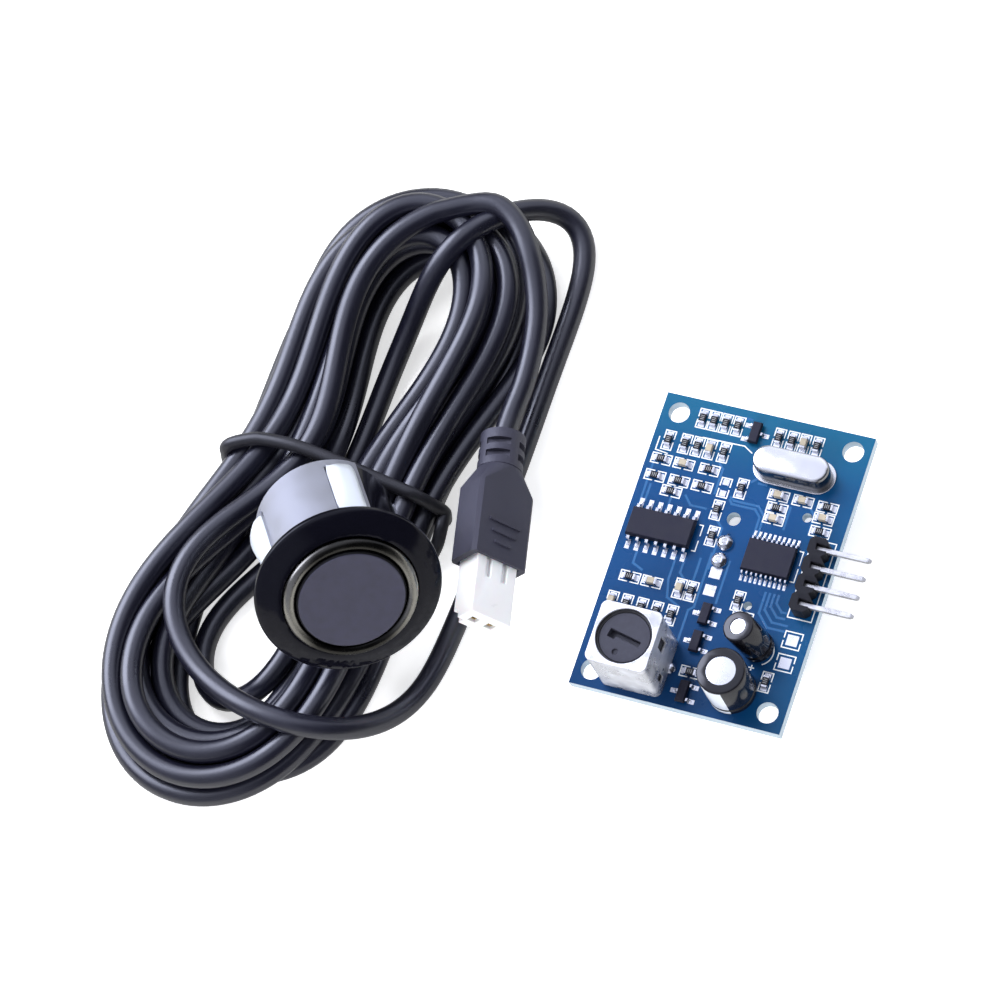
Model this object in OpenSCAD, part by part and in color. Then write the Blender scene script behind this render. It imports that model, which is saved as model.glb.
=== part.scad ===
// Waterproof ultrasonic distance sensor: driver board, and a probe on a tied lead with a two-way plug.
// Millimetres. X runs across the board, Y along it and Z up. The origin lies on the surface that the
// sensor stands on, under the centre of the board's four fixing holes.

/* [Board] */
// Width of the circuit board
board_w = 28.5; // [28:0.1:34]
// Length of the circuit board
board_l = 41; // [40.5:0.1:46]
// Thickness of the circuit board
board_t = 1.6; // [1:0.1:2]
// Diameter of the four fixing holes
hole_d = 2.8; // [2.5:0.1:3.2]
// Distance of the fixing holes from the long edges
hole_inset_x = 2.35; // [2.2:0.05:2.6]
// Distance of the fixing holes from the short edges
hole_inset_y = 2.4; // [2.2:0.05:2.6]

/* [Socket under the board] */
// Height of the socket, on which the board stands
socket_h = 6; // [5.8:0.1:7]
// Length of the socket
socket_l = 9.5; // [9:0.1:11]
// Wall of the socket
socket_wall = 0.7; // [0.5:0.05:0.9]
// Gap between the plug's nose and the socket on each side
socket_fit = 0.15; // [0.1:0.01:0.2]
// Pitch of the two contacts
contact_pitch = 2.5; // [2:0.1:2.6]

/* [Pin header] */
// Pitch of the header's pins
header_pitch = 2.54; // [2.4:0.02:2.54]
// Thickness of each square pin
header_pin = 0.64; // [0.5:0.02:0.7]
// How far the pins reach past the edge of the board
header_reach = 4.8; // [4:0.1:7]

/* [Tuning transformer] */
// Width of the screening can
can_w = 8.2; // [8:0.05:9]
// Height of the screening can
can_h = 9.5; // [8.5:0.1:11]
// Sheet thickness of the can
can_t = 0.3; // [0.2:0.02:0.32]
// Diameter of the threaded tuning core
core_d = 6.6; // [6:0.05:6.7]
// Running gap round the tuning core
core_gap = 0.05; // [0.02:0.01:0.08]
// Width of the screwdriver slot
slot_w = 0.7; // [0.5:0.05:1]

/* [Electrolytic capacitors] */
// Diameter of the large capacitor
big_cap_d = 6.3; // [5.8:0.1:6.6]
// Height of the large capacitor
big_cap_h = 7.5; // [6:0.1:9]
// Diameter of the small capacitor
small_cap_d = 4.2; // [3.8:0.1:4.4]
// Height of the small capacitor
small_cap_h = 7; // [5.5:0.1:8]
// Lean of the small capacitor in degrees
small_cap_lean = 12; // [0:1:14]

/* [Crystal] */
// Length of the crystal's can
crystal_l = 10.2; // [9.5:0.1:10.6]
// Width of the crystal's can
crystal_w = 3.8; // [3.4:0.1:4]
// Height of the crystal over its base
crystal_h = 3; // [2.5:0.1:4]

/* [Probe] */
// Diameter of the bezel
bezel_d = 24; // [22:0.5:24]
// Diameter of the snap-in barrel
barrel_d = 17.6; // [16.8:0.1:18]
// Depth from the rim of the bezel to the back of the barrel
barrel_l = 17; // [15:0.5:18]
// Wall of the barrel
barrel_wall = 1; // [0.8:0.05:1.3]
// Diameter of the transducer's face
face_d = 14.1; // [13:0.1:14.2]
// Sheet thickness of the spring clip
clip_t = 0.3; // [0.2:0.02:0.4]

/* [Plug] */
// Width of the plug's moulded body
plug_w = 8.6; // [8:0.1:9]
// Thickness of the plug's moulded body
plug_t = 5.3; // [5.2:0.1:5.8]
// Width of the white nose
nose_w = 6.2; // [5.8:0.1:6.4]
// Thickness of the white nose
nose_t = 4.1; // [3.9:0.05:4.3]
// How far the nose stands out of the body
nose_l = 8.2; // [7:0.1:8.3]
// Diameter of the strain relief sleeve
sleeve_d = 6; // [5:0.1:6.2]

/* [Lead] */
// Diameter of the lead
lead_d = 3; // [2.6:0.1:3]
// Height of the tied hank
hank_h = 9; // [8:0.1:9.2]
// Thickness of the tie round the hank
tie_d = 1.8; // [1.4:0.1:1.8]

/* [Hidden] */

// Smoothness of round parts
fine = 64;
coarse = 28;
// Smallest amount by which a cutter passes through a face
cut = 0.5;
// Gap between pieces that lie beside each other
lay_gap = 0.05;
// Gap between the hank and what lies on it
soft_gap = 0.3;

board_top = socket_h + board_t;
// Width of the pins that go through the board, and the bores for them
wire_d = 0.5;
wire_hole_d = 0.9;
header_hole_d = header_pin * sqrt(2) + 0.1;
// How far leads come through under the board
tail_l = 1.2;

// Places on the board, from its left edge and from its far edge
socket_pin_at = [13.9, 19.45];
header_at = [26.3, 20.4];
header_block = 2.5;
header_count = 4;
transformer_at = [8.1, 36.1];
big_cap_at = [20.9, 36.9];
small_cap_at = [22.6, 30.7];
crystal_at = [19.7, 6.9];
crystal_pitch = 4.88;
amplifier_at = [5.3, 18.4];
controller_at = [20.2, 19.1];
test_hole_at = [13.9, 14.8];
test_hole_d = 1.8;
via_holes = [[23.1, 12.4, 1.25], [19.3, 25.6, 1.1], [13.9, 17.25, 0.7]];

// Small chip parts: 1.6 by 0.8 mm bodies, with their direction
chip_l = 1.6;
chip_w = 0.8;
resistor_h = 0.5;
capacitor_h = 0.8;
end_cap_l = 0.32;
standing_resistors = [
  [5.7, 2.5], [7.25, 2.5], [8.85, 2.5], [10.5, 2.5], [16.2, 2.85], [18, 2.85], [21.4, 2.85],
  [2.2, 6.4], [4.5, 6.4], [6.2, 6.4], [9.85, 6.4], [13.6, 10.6], [11.4, 14.15], [11.9, 17.7],
  [11.6, 25.5], [3.9, 29.2], [5.95, 29.2], [8, 29.2], [10.05, 29.2], [17.9, 25.3], [24.7, 34.8]
];
lying_resistors = [
  [2.1, 9.1], [8.7, 9.1], [2, 11.5], [5.3, 11.5], [8.5, 11.5], [4.75, 13.1], [18.9, 12.1],
  [25.25, 10.5], [25.3, 13.9], [3.2, 25.5], [14.9, 35.9]
];
standing_capacitors = [[7.9, 6.4], [19.65, 2.85], [10, 25.5], [1.9, 29.2]];
lying_capacitors = [
  [5.2, 9.1], [18.6, 10.4], [18.95, 13.6], [21.9, 10.4], [25.2, 12.1], [6.2, 25.5], [19.1, 27.2]
];
// Transistors, with the side on which the single lead lies
transistors = [[13.15, 3, 1], [14.45, 28.1, -1], [14.45, 31.9, -1], [14.9, 38.7, -1]];
transistor_body = [1.3, 2.9, 1];

// Probe: where the centre of the bezel's rim is, and how the probe lies on the hank
probe_at = [-40.5, -20.2, 23];
probe_turn = 42;
probe_tip = 60;
barrel_r = barrel_d / 2;
bore_r = barrel_r - barrel_wall;
face_r = face_d / 2;
rim_t = 1.2;
bezel_rise = 1.1;
ring_rise = 2.1;
ring_r = 8.65;
face_z = 1.4;
cup_wall = 0.7;
cup_l = 9;
piezo_d = 10;
piezo_t = 0.6;
pad_t = 2.5;
potting_l = 5;
boot_l = 3;
boot_d = 4.8;
clip_gap_start = 50;
clip_gap_end = 106;
clip_tabs = [124, 214, 304, 394];

// Plug: where the lead enters the sleeve, and how the plug lies against the hank
plug_at = [-33.6, 9.3, 7.5];
plug_yaw = 15;
plug_pitch = 8;
plug_roll = 50;
sleeve_l = 5.2;
shoulder_l = 3.2;
plug_body_l = 10.7;
recess_l = 1;
contact_bore = 1.2;
contact_w = 1;

// Route of the lead where it isn't coiled
lead_from_probe_points = [
  [-51.1, -8.5, 13.9], [-52, -7.5, 13.1], [-53.3, -6.1, 11.7], [-54.6, -4.9, 10.1], [-55.8, -3.9, 8.3]
];
lead_to_plug_points = [
  [-33, 7, 7.8], [-33.6, 9.3, 7.5], [-34.3, 12, 7.1], [-35, 15, 6.7], [-35.6, 18, 6.3], [-36.1, 21, 6]
];
tube_sides = 8;

// Hank: its two loops and its tied waist
far_loop = [-48.5, 27.5, 17.5];
waist = [-55.5, 0, 14];
near_loop = [-60, -28, 19.3];
lay_h = 3;
tie_turn = -5;

// Helpers for places

// Moves its children to a place on the top of the board
module on_board(at) {
  translate([at[0] - board_w / 2, board_l / 2 - at[1], board_top]) children();
}

// Moves its children to a place on the underside of the board
module under_board(at) {
  translate([at[0] - board_w / 2, board_l / 2 - at[1], socket_h]) children();
}

// Moves its children from the probe's own axis, which points out of its face, to where it lies
module at_probe() {
  translate(probe_at) rotate([0, 0, probe_turn]) rotate([probe_tip, 0, 0]) children();
}

// Moves its children from the plug's own axis, which points to its nose, to where it lies
module at_plug() {
  translate(plug_at) rotate([0, 0, plug_yaw]) rotate([90 - plug_pitch, 0, 0])
    rotate([0, 0, -plug_roll]) children();
}

// A ring between two radii
module tube(outer, inner, height) {
  difference() {
    cylinder(r = outer, h = height, $fn = fine);
    translate([0, 0, -cut]) cylinder(r = inner, h = height + 2 * cut, $fn = fine);
  }
}

// A flat-sided pill, as the crystal's can and base
module pill(length, width, height) {
  straight = length - width;
  translate([-straight / 2, -width / 2, 0]) cube([straight, width, height]);
  for (side = [-1, 1])
    translate([side * straight / 2, 0, 0]) cylinder(d = width, h = height, $fn = fine);
}

// A moulded chip body whose sides slope away from its parting line
module chip_body(size, draft) {
  foot = 0.1;
  waist_z = size[2] * 0.5;
  translate([0, 0, foot]) hull() {
    translate([-size[0] / 2 + draft, -size[1] / 2 + draft, 0])
      cube([size[0] - 2 * draft, size[1] - 2 * draft, size[2] - foot]);
    translate([-size[0] / 2, -size[1] / 2, waist_z - foot]) cube([size[0], size[1], 0.1]);
  }
}

// One bent lead of a chip, which leaves the body along X and lands on the board
module gull_lead(reach, exit_z, width, thick) {
  foot_l = reach * 0.45;
  knee = reach * 0.3;
  translate([0, width / 2, 0]) rotate([90, 0, 0]) linear_extrude(width)
    polygon([
      [0, exit_z], [knee, exit_z], [reach - foot_l - thick, thick], [reach - foot_l, 0], [reach, 0],
      [reach, thick], [reach - foot_l + thick / 3, thick], [knee + thick, exit_z + thick * 0.8],
      [knee, exit_z + thick], [0, exit_z + thick]
    ]);
}

// Chips with a row of leads along both long sides
module lead_rows(count, pitch, half_width, reach, exit_z, width, thick) {
  for (k = [0 : count - 1])
    for (side = [-1, 1])
      translate([(k - (count - 1) / 2) * pitch, side * half_width, 0])
        rotate([0, 0, side * 90]) gull_lead(reach, exit_z, width, thick);
}

// Points on the corners of a regular polygon in the plane across a direction
function unit(v) = v / norm(v);
function across(t) = unit(cross(t, abs(t[2]) < 0.9 ? [0, 0, 1] : [1, 0, 0]));
function ring_points(at, t, r, n) =
  [for (k = [0 : n - 1]) at + r * (cos(k * 360 / n) * across(t) + sin(k * 360 / n) * cross(across(t), t))];
function tangent_at(p, i) = unit(p[min(i + 1, len(p) - 1)] - p[max(i - 1, 0)]);

// A tube along a route of points
module lead_tube(p, d) {
  n = tube_sides;
  last = len(p) - 1;
  polyhedron(
    points = [for (i = [0 : last]) each ring_points(p[i], tangent_at(p, i), d / 2, n)],
    faces = concat(
      [[for (k = [0 : n - 1]) k]],
      [for (i = [0 : last - 1]) for (k = [0 : n - 1])
        [i * n + k, (i + 1) * n + k, (i + 1) * n + (k + 1) % n, i * n + (k + 1) % n]],
      [[for (k = [n - 1 : -1 : 0]) last * n + k]]
    )
  );
}

// Board and its connectors

module circuit_board() {
  color("royalblue") difference() {
    translate([-board_w / 2, -board_l / 2, socket_h]) cube([board_w, board_l, board_t]);
    for (x = [hole_inset_x, board_w - hole_inset_x])
      for (y = [hole_inset_y, board_l - hole_inset_y]) board_bore([x, y], hole_d);
    board_bore(test_hole_at, test_hole_d);
    for (v = via_holes) board_bore(v, v[2]);
    for (k = [0 : header_count - 1]) board_bore(header_pin_at(k), header_hole_d);
    for (k = [0, 1]) board_bore(socket_pin_at_hole(k), header_hole_d);
    for (p = wire_places()) board_bore(p, wire_hole_d);
    for (side = [-1, 1]) board_bore(lug_place(side), lug_w + 0.2);
  }
}

// A round hole through the board
module board_bore(at, d) {
  under_board(at) translate([0, 0, -cut]) cylinder(d = d, h = board_t + 2 * cut, $fn = 32);
}

function header_pin_at(k) =
  [header_at[0], header_at[1] + (k - (header_count - 1) / 2) * header_pitch];
function socket_pin_at_hole(k) = [socket_pin_at[0], socket_pin_at[1] + (k - 0.5) * contact_pitch];

// Places of the round leads that go through the board
transformer_pin_pitch = 2.5;
function transformer_pin_places() = concat(
  [for (k = [-1, 0, 1]) [transformer_at[0] + k * transformer_pin_pitch, transformer_at[1] + 3]],
  [for (k = [-1, 1]) [transformer_at[0] + k * transformer_pin_pitch, transformer_at[1] - 3]]
);
function crystal_places() = [for (k = [-0.5, 0.5]) [crystal_at[0] + k * crystal_pitch, crystal_at[1]]];
function big_cap_places() = [for (k = [-1, 1]) [big_cap_at[0], big_cap_at[1] + k * 1.25]];
function small_cap_places() = [for (k = [-1, 1]) [small_cap_at[0], small_cap_at[1] + k * 0.9]];
// The can's two lugs, which go through the board and are soldered to it
lug_w = 1.2;
lug_tail = 0.8;
function lug_place(side) = [transformer_at[0] + side * (can_w - can_t) / 2, transformer_at[1]];
function wire_places() = concat(
  transformer_pin_places(), crystal_places(), big_cap_places(), small_cap_places()
);

module solder_joints() {
  color("gainsboro") {
    for (p = wire_places()) solder_cone(p, wire_d);
    for (k = [0 : header_count - 1]) solder_square(header_pin_at(k), header_pin);
    for (k = [0, 1]) on_board(socket_pin_at_hole(k)) difference() {
      scale([1, 1, 0.8]) intersection() {
        sphere(r = 1.15, $fn = 24);
        translate([-2, -2, 0]) cube([4, 4, 4]);
      }
      translate([-header_pin / 2, -header_pin / 2, -cut]) cube([header_pin, header_pin, 4]);
    }
    for (side = [-1, 1]) solder_lug(side);
  }
}

// Solder on one of the can's lugs: a cone under the board and a half drop beside the can on its top
module solder_lug(side) {
  under_board(lug_place(side)) difference() {
    rotate([180, 0, 0]) cylinder(d1 = lug_w + 0.9, d2 = lug_w + 0.4, h = lug_tail * 0.8, $fn = 24);
    translate([-can_t / 2, -lug_w / 2, -3]) cube([can_t, lug_w, 4]);
  }
  on_board(lug_place(side)) intersection() {
    translate([side * can_t / 2, 0, 0]) sphere(r = 0.85, $fn = 24);
    translate([side > 0 ? can_t / 2 + 0.01 : -can_t / 2 - 2.01, -2, 0]) cube([2, 4, 2]);
  }
}

// A cone of solder round a lead under the board
module solder_cone(at, d) {
  under_board(at) difference() {
    rotate([180, 0, 0]) cylinder(d1 = d + 1.2, d2 = d + 0.3, h = tail_l * 0.7, $fn = 24);
    translate([0, 0, -3]) cylinder(d = d, h = 4, $fn = 24);
  }
}

// A cone of solder round a square pin under the board
module solder_square(at, w) {
  under_board(at) difference() {
    rotate([180, 0, 0]) cylinder(d1 = w + 1.2, d2 = w + 0.5, h = tail_l * 0.7, $fn = 24);
    translate([-w / 2, -w / 2, -3]) cube([w, w, 4]);
  }
}

socket_in_w = nose_w + 2 * socket_fit;
socket_in_t = nose_t + 2 * socket_fit;
socket_out_w = socket_in_w + 2 * socket_wall;
socket_back_t = 1;
socket_front_x = socket_pin_at[0] + 1 - socket_l;

module socket_shroud() {
  color("ivory") under_board([socket_front_x, socket_pin_at[1]]) difference() {
    translate([0, -socket_out_w / 2, -socket_h]) cube([socket_l, socket_out_w, socket_h]);
    translate([-cut, -socket_in_w / 2, socket_mouth_z])
      cube([socket_l - socket_back_t + cut, socket_in_w, socket_in_t]);
    for (side = [-1, 1])
      translate([-cut, side * contact_pitch / 2 - 0.5, socket_mouth_z + socket_in_t - cut])
        cube([3 + cut, 1, socket_h]);
    for (k = [0, 1])
      translate([socket_l - 1 - header_pin / 2, (0.5 - k) * contact_pitch - header_pin / 2,
        -socket_h / 2 - header_pin / 2]) cube([header_pin, header_pin, socket_h]);
    for (k = [0, 1])
      translate([socket_l - socket_back_t - cut, (0.5 - k) * contact_pitch - header_pin / 2,
        -socket_h / 2 - header_pin / 2]) cube([socket_back_t, header_pin, header_pin]);
  }
}

socket_mouth_z = -(socket_h + socket_in_t) / 2;

module socket_pin(k) {
  reach = socket_l - socket_back_t - 2;
  color("silver") under_board(socket_pin_at_hole(k)) {
    translate([-reach, -header_pin / 2, -socket_h / 2 - header_pin / 2])
      cube([reach + header_pin / 2, header_pin, header_pin]);
    translate([-header_pin / 2, -header_pin / 2, -socket_h / 2 - header_pin / 2])
      cube([header_pin, header_pin, socket_h / 2 + header_pin / 2 + board_t + 0.9]);
  }
}

header_len = header_count * header_pitch;
header_z = header_block / 2 + 0.05;

module header_strip() {
  color("#1c1c1e") on_board(header_at) difference() {
    translate([-header_block / 2, -header_len / 2, 0]) cube([header_block, header_len, header_block]);
    for (k = [0 : header_count])
      for (side = [-1, 1])
        translate([side * header_block / 2, (k - header_count / 2) * header_pitch, -cut])
          rotate([0, 0, 45]) translate([-0.35, -0.35, 0]) cube([0.7, 0.7, header_block + 2 * cut]);
    for (k = [0 : header_count - 1])
      translate([-header_pin / 2, (k - (header_count - 1) / 2) * header_pitch - header_pin / 2, -cut]) {
        cube([header_pin, header_pin, header_z + header_pin / 2 + cut]);
        translate([0, 0, header_z - header_pin / 2 + cut]) cube([header_block, header_pin, header_pin]);
      }
  }
}

module header_pin_n(k) {
  out = board_w - header_at[0] + header_reach;
  point = 0.4;
  color("silver") on_board(header_pin_at(k)) {
    translate([-header_pin / 2, -header_pin / 2, -board_t - tail_l])
      cube([header_pin, header_pin, board_t + tail_l + header_z + header_pin / 2]);
    translate([0, -header_pin / 2, header_z - header_pin / 2])
      cube([out - point, header_pin, header_pin]);
    translate([out - point, 0, header_z]) rotate([0, 90, 0]) rotate([0, 0, 45])
      cylinder(d1 = header_pin * sqrt(2), d2 = header_pin * 0.8, h = point, $fn = 4);
  }
}

// Tuning transformer

top_rim = can_h - 0.3;
frame_w = can_w - 2 * can_t - 2 * lay_gap;
core_r = core_d / 2;
frame_bore_r = core_r + core_gap;
frame_base_t = 1.4;
core_l = 5.2;
cup_r = core_r - 0.7;
slot_depth = 1;
slot_l = 4.4;

module transformer_can() {
  color("gainsboro") on_board(transformer_at) difference() {
    rounded_block(can_w, can_h, 0.9);
    translate([0, 0, -cut]) rounded_block(can_w - 2 * can_t, can_h - can_t + cut, 0.7);
    translate([0, 0, can_h - 2]) cylinder(r = frame_bore_r + 0.3, h = 3, $fn = fine);
    for (side = [-1, 1]) {
      translate([side * can_w / 2 - 1, 0.2, can_h - 4.6]) cube([2, 1.5, 2.6]);
      translate([side * can_w / 2 - 1, -2.6, 1.6]) cube([2, 0.9, 1.8]);
    }
  }
  for (side = [-1, 1])
    color("gainsboro") under_board(lug_place(side)) translate([-can_t / 2, -lug_w / 2, -lug_tail])
      cube([can_t, lug_w, lug_tail + board_t + 0.5]);
}

// A block with rounded upright edges
module rounded_block(w, h, r) {
  linear_extrude(h) {
    square([w - 2 * r, w], center = true);
    square([w, w - 2 * r], center = true);
    for (x = [-1, 1])
      for (y = [-1, 1]) translate([x * (w / 2 - r), y * (w / 2 - r)]) circle(r = r, $fn = 24);
  }
}

module transformer_frame() {
  color("#26262a") on_board(transformer_at) difference() {
    translate([0, 0, lay_gap]) rounded_block(frame_w, top_rim - lay_gap - can_t, 0.6);
    translate([0, 0, frame_base_t]) cylinder(r = frame_bore_r, h = can_h, $fn = fine);
    for (p = transformer_pin_places())
      translate([p[0] - transformer_at[0], transformer_at[1] - p[1], -cut])
        cylinder(d = wire_d, h = frame_base_t - 0.4 + cut, $fn = 24);
  }
}

module tuning_core() {
  color("#2e2e33") on_board(transformer_at) translate([0, 0, top_rim - can_t - core_l]) difference() {
    cylinder(r = core_r, h = core_l, $fn = fine);
    translate([0, 0, -cut]) cylinder(r = cup_r, h = core_l - 2 + cut, $fn = fine);
    rotate([0, 0, -12]) {
      translate([-slot_l / 2, -slot_w / 2, core_l - slot_depth]) cube([slot_l, slot_w, 2]);
      translate([-slot_l / 2, -slot_w / 2 - 0.4, core_l - slot_depth]) cube([1.1, 1, 2]);
    }
    translate([-0.6, -2.1, core_l - 0.3]) cylinder(d = 0.8, h = 1, $fn = 24);
  }
}

module transformer_drum() {
  color("dimgray") on_board(transformer_at) translate([0, 0, frame_base_t]) {
    cylinder(r = cup_r - 0.4, h = 0.6, $fn = fine);
    cylinder(r = 1.1, h = 4.4, $fn = fine);
    translate([0, 0, 3.8]) cylinder(r = cup_r - 0.4, h = 0.6, $fn = fine);
  }
}

module transformer_winding() {
  color("peru") on_board(transformer_at) translate([0, 0, frame_base_t + 0.6])
    tube(cup_r - 0.6, 1.1, 3.2);
}

module transformer_pins() {
  color("silver") for (p = transformer_pin_places())
    on_board(p) translate([0, 0, -board_t - tail_l])
      cylinder(d = wire_d, h = board_t + tail_l + frame_base_t - 0.4, $fn = 24);
}

// Electrolytic capacitors

sleeve_t = 0.12;
bung_h = 1;

// Section of the aluminium can: a groove above the open end and a rounded top edge
module capacitor_can(d, h) {
  r = d / 2 - sleeve_t;
  edge = 0.35;
  rotate_extrude($fn = fine) polygon([
    [0, bung_h], [r - 0.35, bung_h], [r - 0.35, 0.1], [r, 0.1], [r, 0.9], [r - 0.25, 1.2], [r, 1.5],
    [r, h - edge], [r - edge * 0.3, h - edge * 0.3], [r - edge, h], [0, h]
  ]);
}

// Section of the printed sleeve, which follows the can and laps over its top edge
module capacitor_sleeve(d, h) {
  r = d / 2;
  s = r - sleeve_t;
  edge = 0.35;
  lap = 0.75;
  rotate_extrude($fn = fine) polygon([
    [s, 0.1], [r, 0.1], [r, 0.9], [r - 0.25, 1.2], [r, 1.5], [r, h - edge + sleeve_t],
    [r - edge * 0.3, h - edge * 0.3 + sleeve_t], [r - edge, h + sleeve_t], [s - lap, h + sleeve_t],
    [s - lap, h], [s - edge, h], [s - edge * 0.3, h - edge * 0.3], [s, h - edge], [s, 1.5],
    [s - 0.25, 1.2], [s, 0.9]
  ]);
}

module capacitor_bung(d, bores) {
  difference() {
    translate([0, 0, 0.02]) cylinder(r = d / 2 - sleeve_t - 0.35, h = bung_h - 0.02, $fn = fine);
    for (y = bores) translate([0, y, -cut]) cylinder(d = wire_d, h = bung_h - 0.2 + cut, $fn = 24);
  }
}

module large_capacitor_can() {
  color("lightgray") on_board(big_cap_at) capacitor_can(big_cap_d, big_cap_h);
}
module large_capacitor_sleeve() {
  color("#202024") on_board(big_cap_at) capacitor_sleeve(big_cap_d, big_cap_h);
}
module large_capacitor_bung() {
  color("#303033") on_board(big_cap_at) capacitor_bung(big_cap_d, [-1.25, 1.25]);
}
module large_capacitor_leads() {
  color("silver") for (p = big_cap_places()) on_board(p) translate([0, 0, -board_t - tail_l])
    cylinder(d = wire_d, h = board_t + tail_l + bung_h - 0.2, $fn = 24);
}

// The small capacitor leans to the left on its leads
module on_lean() {
  on_board(small_cap_at) translate([0, 0, small_cap_d / 2 * sin(small_cap_lean)])
    rotate([0, -small_cap_lean, 0]) children();
}
module small_capacitor_can() {
  color("lightgray") on_lean() capacitor_can(small_cap_d, small_cap_h);
}
module small_capacitor_sleeve() {
  color("#202024") on_lean() capacitor_sleeve(small_cap_d, small_cap_h);
}
module small_capacitor_bung() {
  color("#303033") on_lean() capacitor_bung(small_cap_d, []);
}
module small_capacitor_leads() {
  color("silver") for (p = small_cap_places()) on_board(p) difference() {
    translate([0, 0, -board_t - tail_l])
      cylinder(d = wire_d, h = board_t + tail_l + 1, $fn = 24);
    translate([0, 0, small_cap_d / 2 * sin(small_cap_lean)]) rotate([0, -small_cap_lean, 0])
      translate([-3, -3, 0.02]) cube([6, 6, 3]);
  }
}

// Crystal

crystal_base_h = 0.8;
crystal_base_rim = 0.45;

module crystal_base() {
  color("silver") on_board(crystal_at) difference() {
    union() {
      pill(crystal_l + 2 * crystal_base_rim, crystal_w + 2 * crystal_base_rim, 0.35);
      pill(crystal_l - 0.4, crystal_w - 0.4, crystal_base_h);
    }
    for (k = [-0.5, 0.5]) translate([k * crystal_pitch, 0, -cut])
      cylinder(d = wire_d, h = crystal_base_h - 0.2 + cut, $fn = 24);
  }
}

module crystal_can() {
  color("gainsboro") on_board(crystal_at) translate([0, 0, 0.35]) difference() {
    hull() {
      pill(crystal_l, crystal_w, crystal_h - 0.5);
      pill(crystal_l - 0.3, crystal_w - 0.3, crystal_h - 0.15);
      pill(crystal_l - 1, crystal_w - 1, crystal_h);
    }
    translate([0, 0, -cut]) pill(crystal_l - 0.4, crystal_w - 0.4, crystal_h - 0.3 + cut);
  }
}

module crystal_leads() {
  color("silver") for (p = crystal_places()) on_board(p) translate([0, 0, -board_t - tail_l])
    cylinder(d = wire_d, h = board_t + tail_l + crystal_base_h - 0.2, $fn = 24);
}

// Chips and transistors

amplifier_size = [8.65, 3.9, 1.5];
controller_size = [6.5, 4.4, 1.1];

module amplifier_chip() {
  color("#232327") on_board(amplifier_at) chip_body(amplifier_size, 0.15);
}
module amplifier_leads() {
  color("silver") on_board(amplifier_at)
    lead_rows(7, 1.27, amplifier_size[1] / 2, 1.15, 0.7, 0.42, 0.2);
}
module controller_chip() {
  color("#232327") on_board(controller_at) chip_body(controller_size, 0.12);
}
module controller_leads() {
  color("silver") on_board(controller_at)
    lead_rows(10, 0.65, controller_size[1] / 2, 1, 0.5, 0.25, 0.13);
}

module transistor(k) {
  color("#232327") on_board(transistors[k]) chip_body(transistor_body, 0.1);
}

module transistor_leads() {
  color("silver") for (t = transistors) on_board(t) {
    translate([t[2] * transistor_body[0] / 2, 0, 0])
      rotate([0, 0, t[2] > 0 ? 0 : 180]) gull_lead(0.75, 0.48, 0.42, 0.12);
    for (y = [-0.95, 0.95])
      translate([-t[2] * transistor_body[0] / 2, y, 0])
        rotate([0, 0, t[2] > 0 ? 180 : 0]) gull_lead(0.75, 0.48, 0.42, 0.12);
  }
}

// Small chip parts: a body between two end caps
module chip_middle(at, standing, h) {
  on_board(at) rotate([0, 0, standing ? 90 : 0])
    translate([-chip_l / 2 + end_cap_l, -chip_w / 2, 0.03]) cube([chip_l - 2 * end_cap_l, chip_w, h]);
}
module chip_ends(at, standing, h) {
  on_board(at) rotate([0, 0, standing ? 90 : 0]) for (side = [-1, 1])
    translate([side * (chip_l - end_cap_l) / 2 - end_cap_l / 2, -chip_w / 2, 0])
      cube([end_cap_l, chip_w, h]);
}

module chip_resistors() {
  color("#2a2a2e") {
    for (p = standing_resistors) chip_middle(p, true, resistor_h);
    for (p = lying_resistors) chip_middle(p, false, resistor_h);
  }
}
module chip_capacitors() {
  color("tan") {
    for (p = standing_capacitors) chip_middle(p, true, capacitor_h);
    for (p = lying_capacitors) chip_middle(p, false, capacitor_h);
  }
}
module chip_end_caps() {
  color("silver") {
    for (p = standing_resistors) chip_ends(p, true, resistor_h);
    for (p = lying_resistors) chip_ends(p, false, resistor_h);
    for (p = standing_capacitors) chip_ends(p, true, capacitor_h);
    for (p = lying_capacitors) chip_ends(p, false, capacitor_h);
  }
}

// Probe, along its own axis: the rim of the bezel is at zero and the barrel reaches back from it

module probe_housing() {
  seat_z = -1;
  color("#17171a") at_probe() rotate_extrude($fn = fine) polygon([
    [bore_r, -barrel_l], [barrel_r - 0.3, -barrel_l], [barrel_r, -barrel_l + 0.4],
    [barrel_r, -rim_t], [bezel_d / 2 - 0.3, -rim_t], [bezel_d / 2, -rim_t + 0.3],
    [bezel_d / 2, -0.25], [bezel_d / 2 - 0.3, 0.08], [bezel_d / 2 - 1.4, 0.5],
    [ring_r + 0.9, bezel_rise - 0.1], [ring_r + 0.1, bezel_rise], [ring_r + 0.1, seat_z],
    [bore_r, seat_z]
  ]);
}

// The rubber ring: a rounded bead round the face, and a sleeve between the cup and the housing
module isolation_ring() {
  inner = face_r + 0.02;
  bead_r = (ring_r - inner) / 2;
  color("#2b2b2d") at_probe() rotate_extrude($fn = fine) {
    difference() {
      translate([inner, -0.98]) square([ring_r - inner, ring_rise + 0.98]);
      translate([inner - cut, ring_rise - bead_r]) square([2 * bead_r + 2 * cut, 2 * bead_r]);
    }
    intersection() {
      translate([inner + bead_r, ring_rise - bead_r]) circle(r = bead_r, $fn = 24);
      translate([inner - cut, ring_rise - bead_r - 0.01]) square([2 * bead_r + 2 * cut, 2 * bead_r]);
    }
    translate([inner, face_z - cup_l]) square([bore_r - 0.02 - inner, cup_l - face_z - 0.9]);
  }
}

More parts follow.
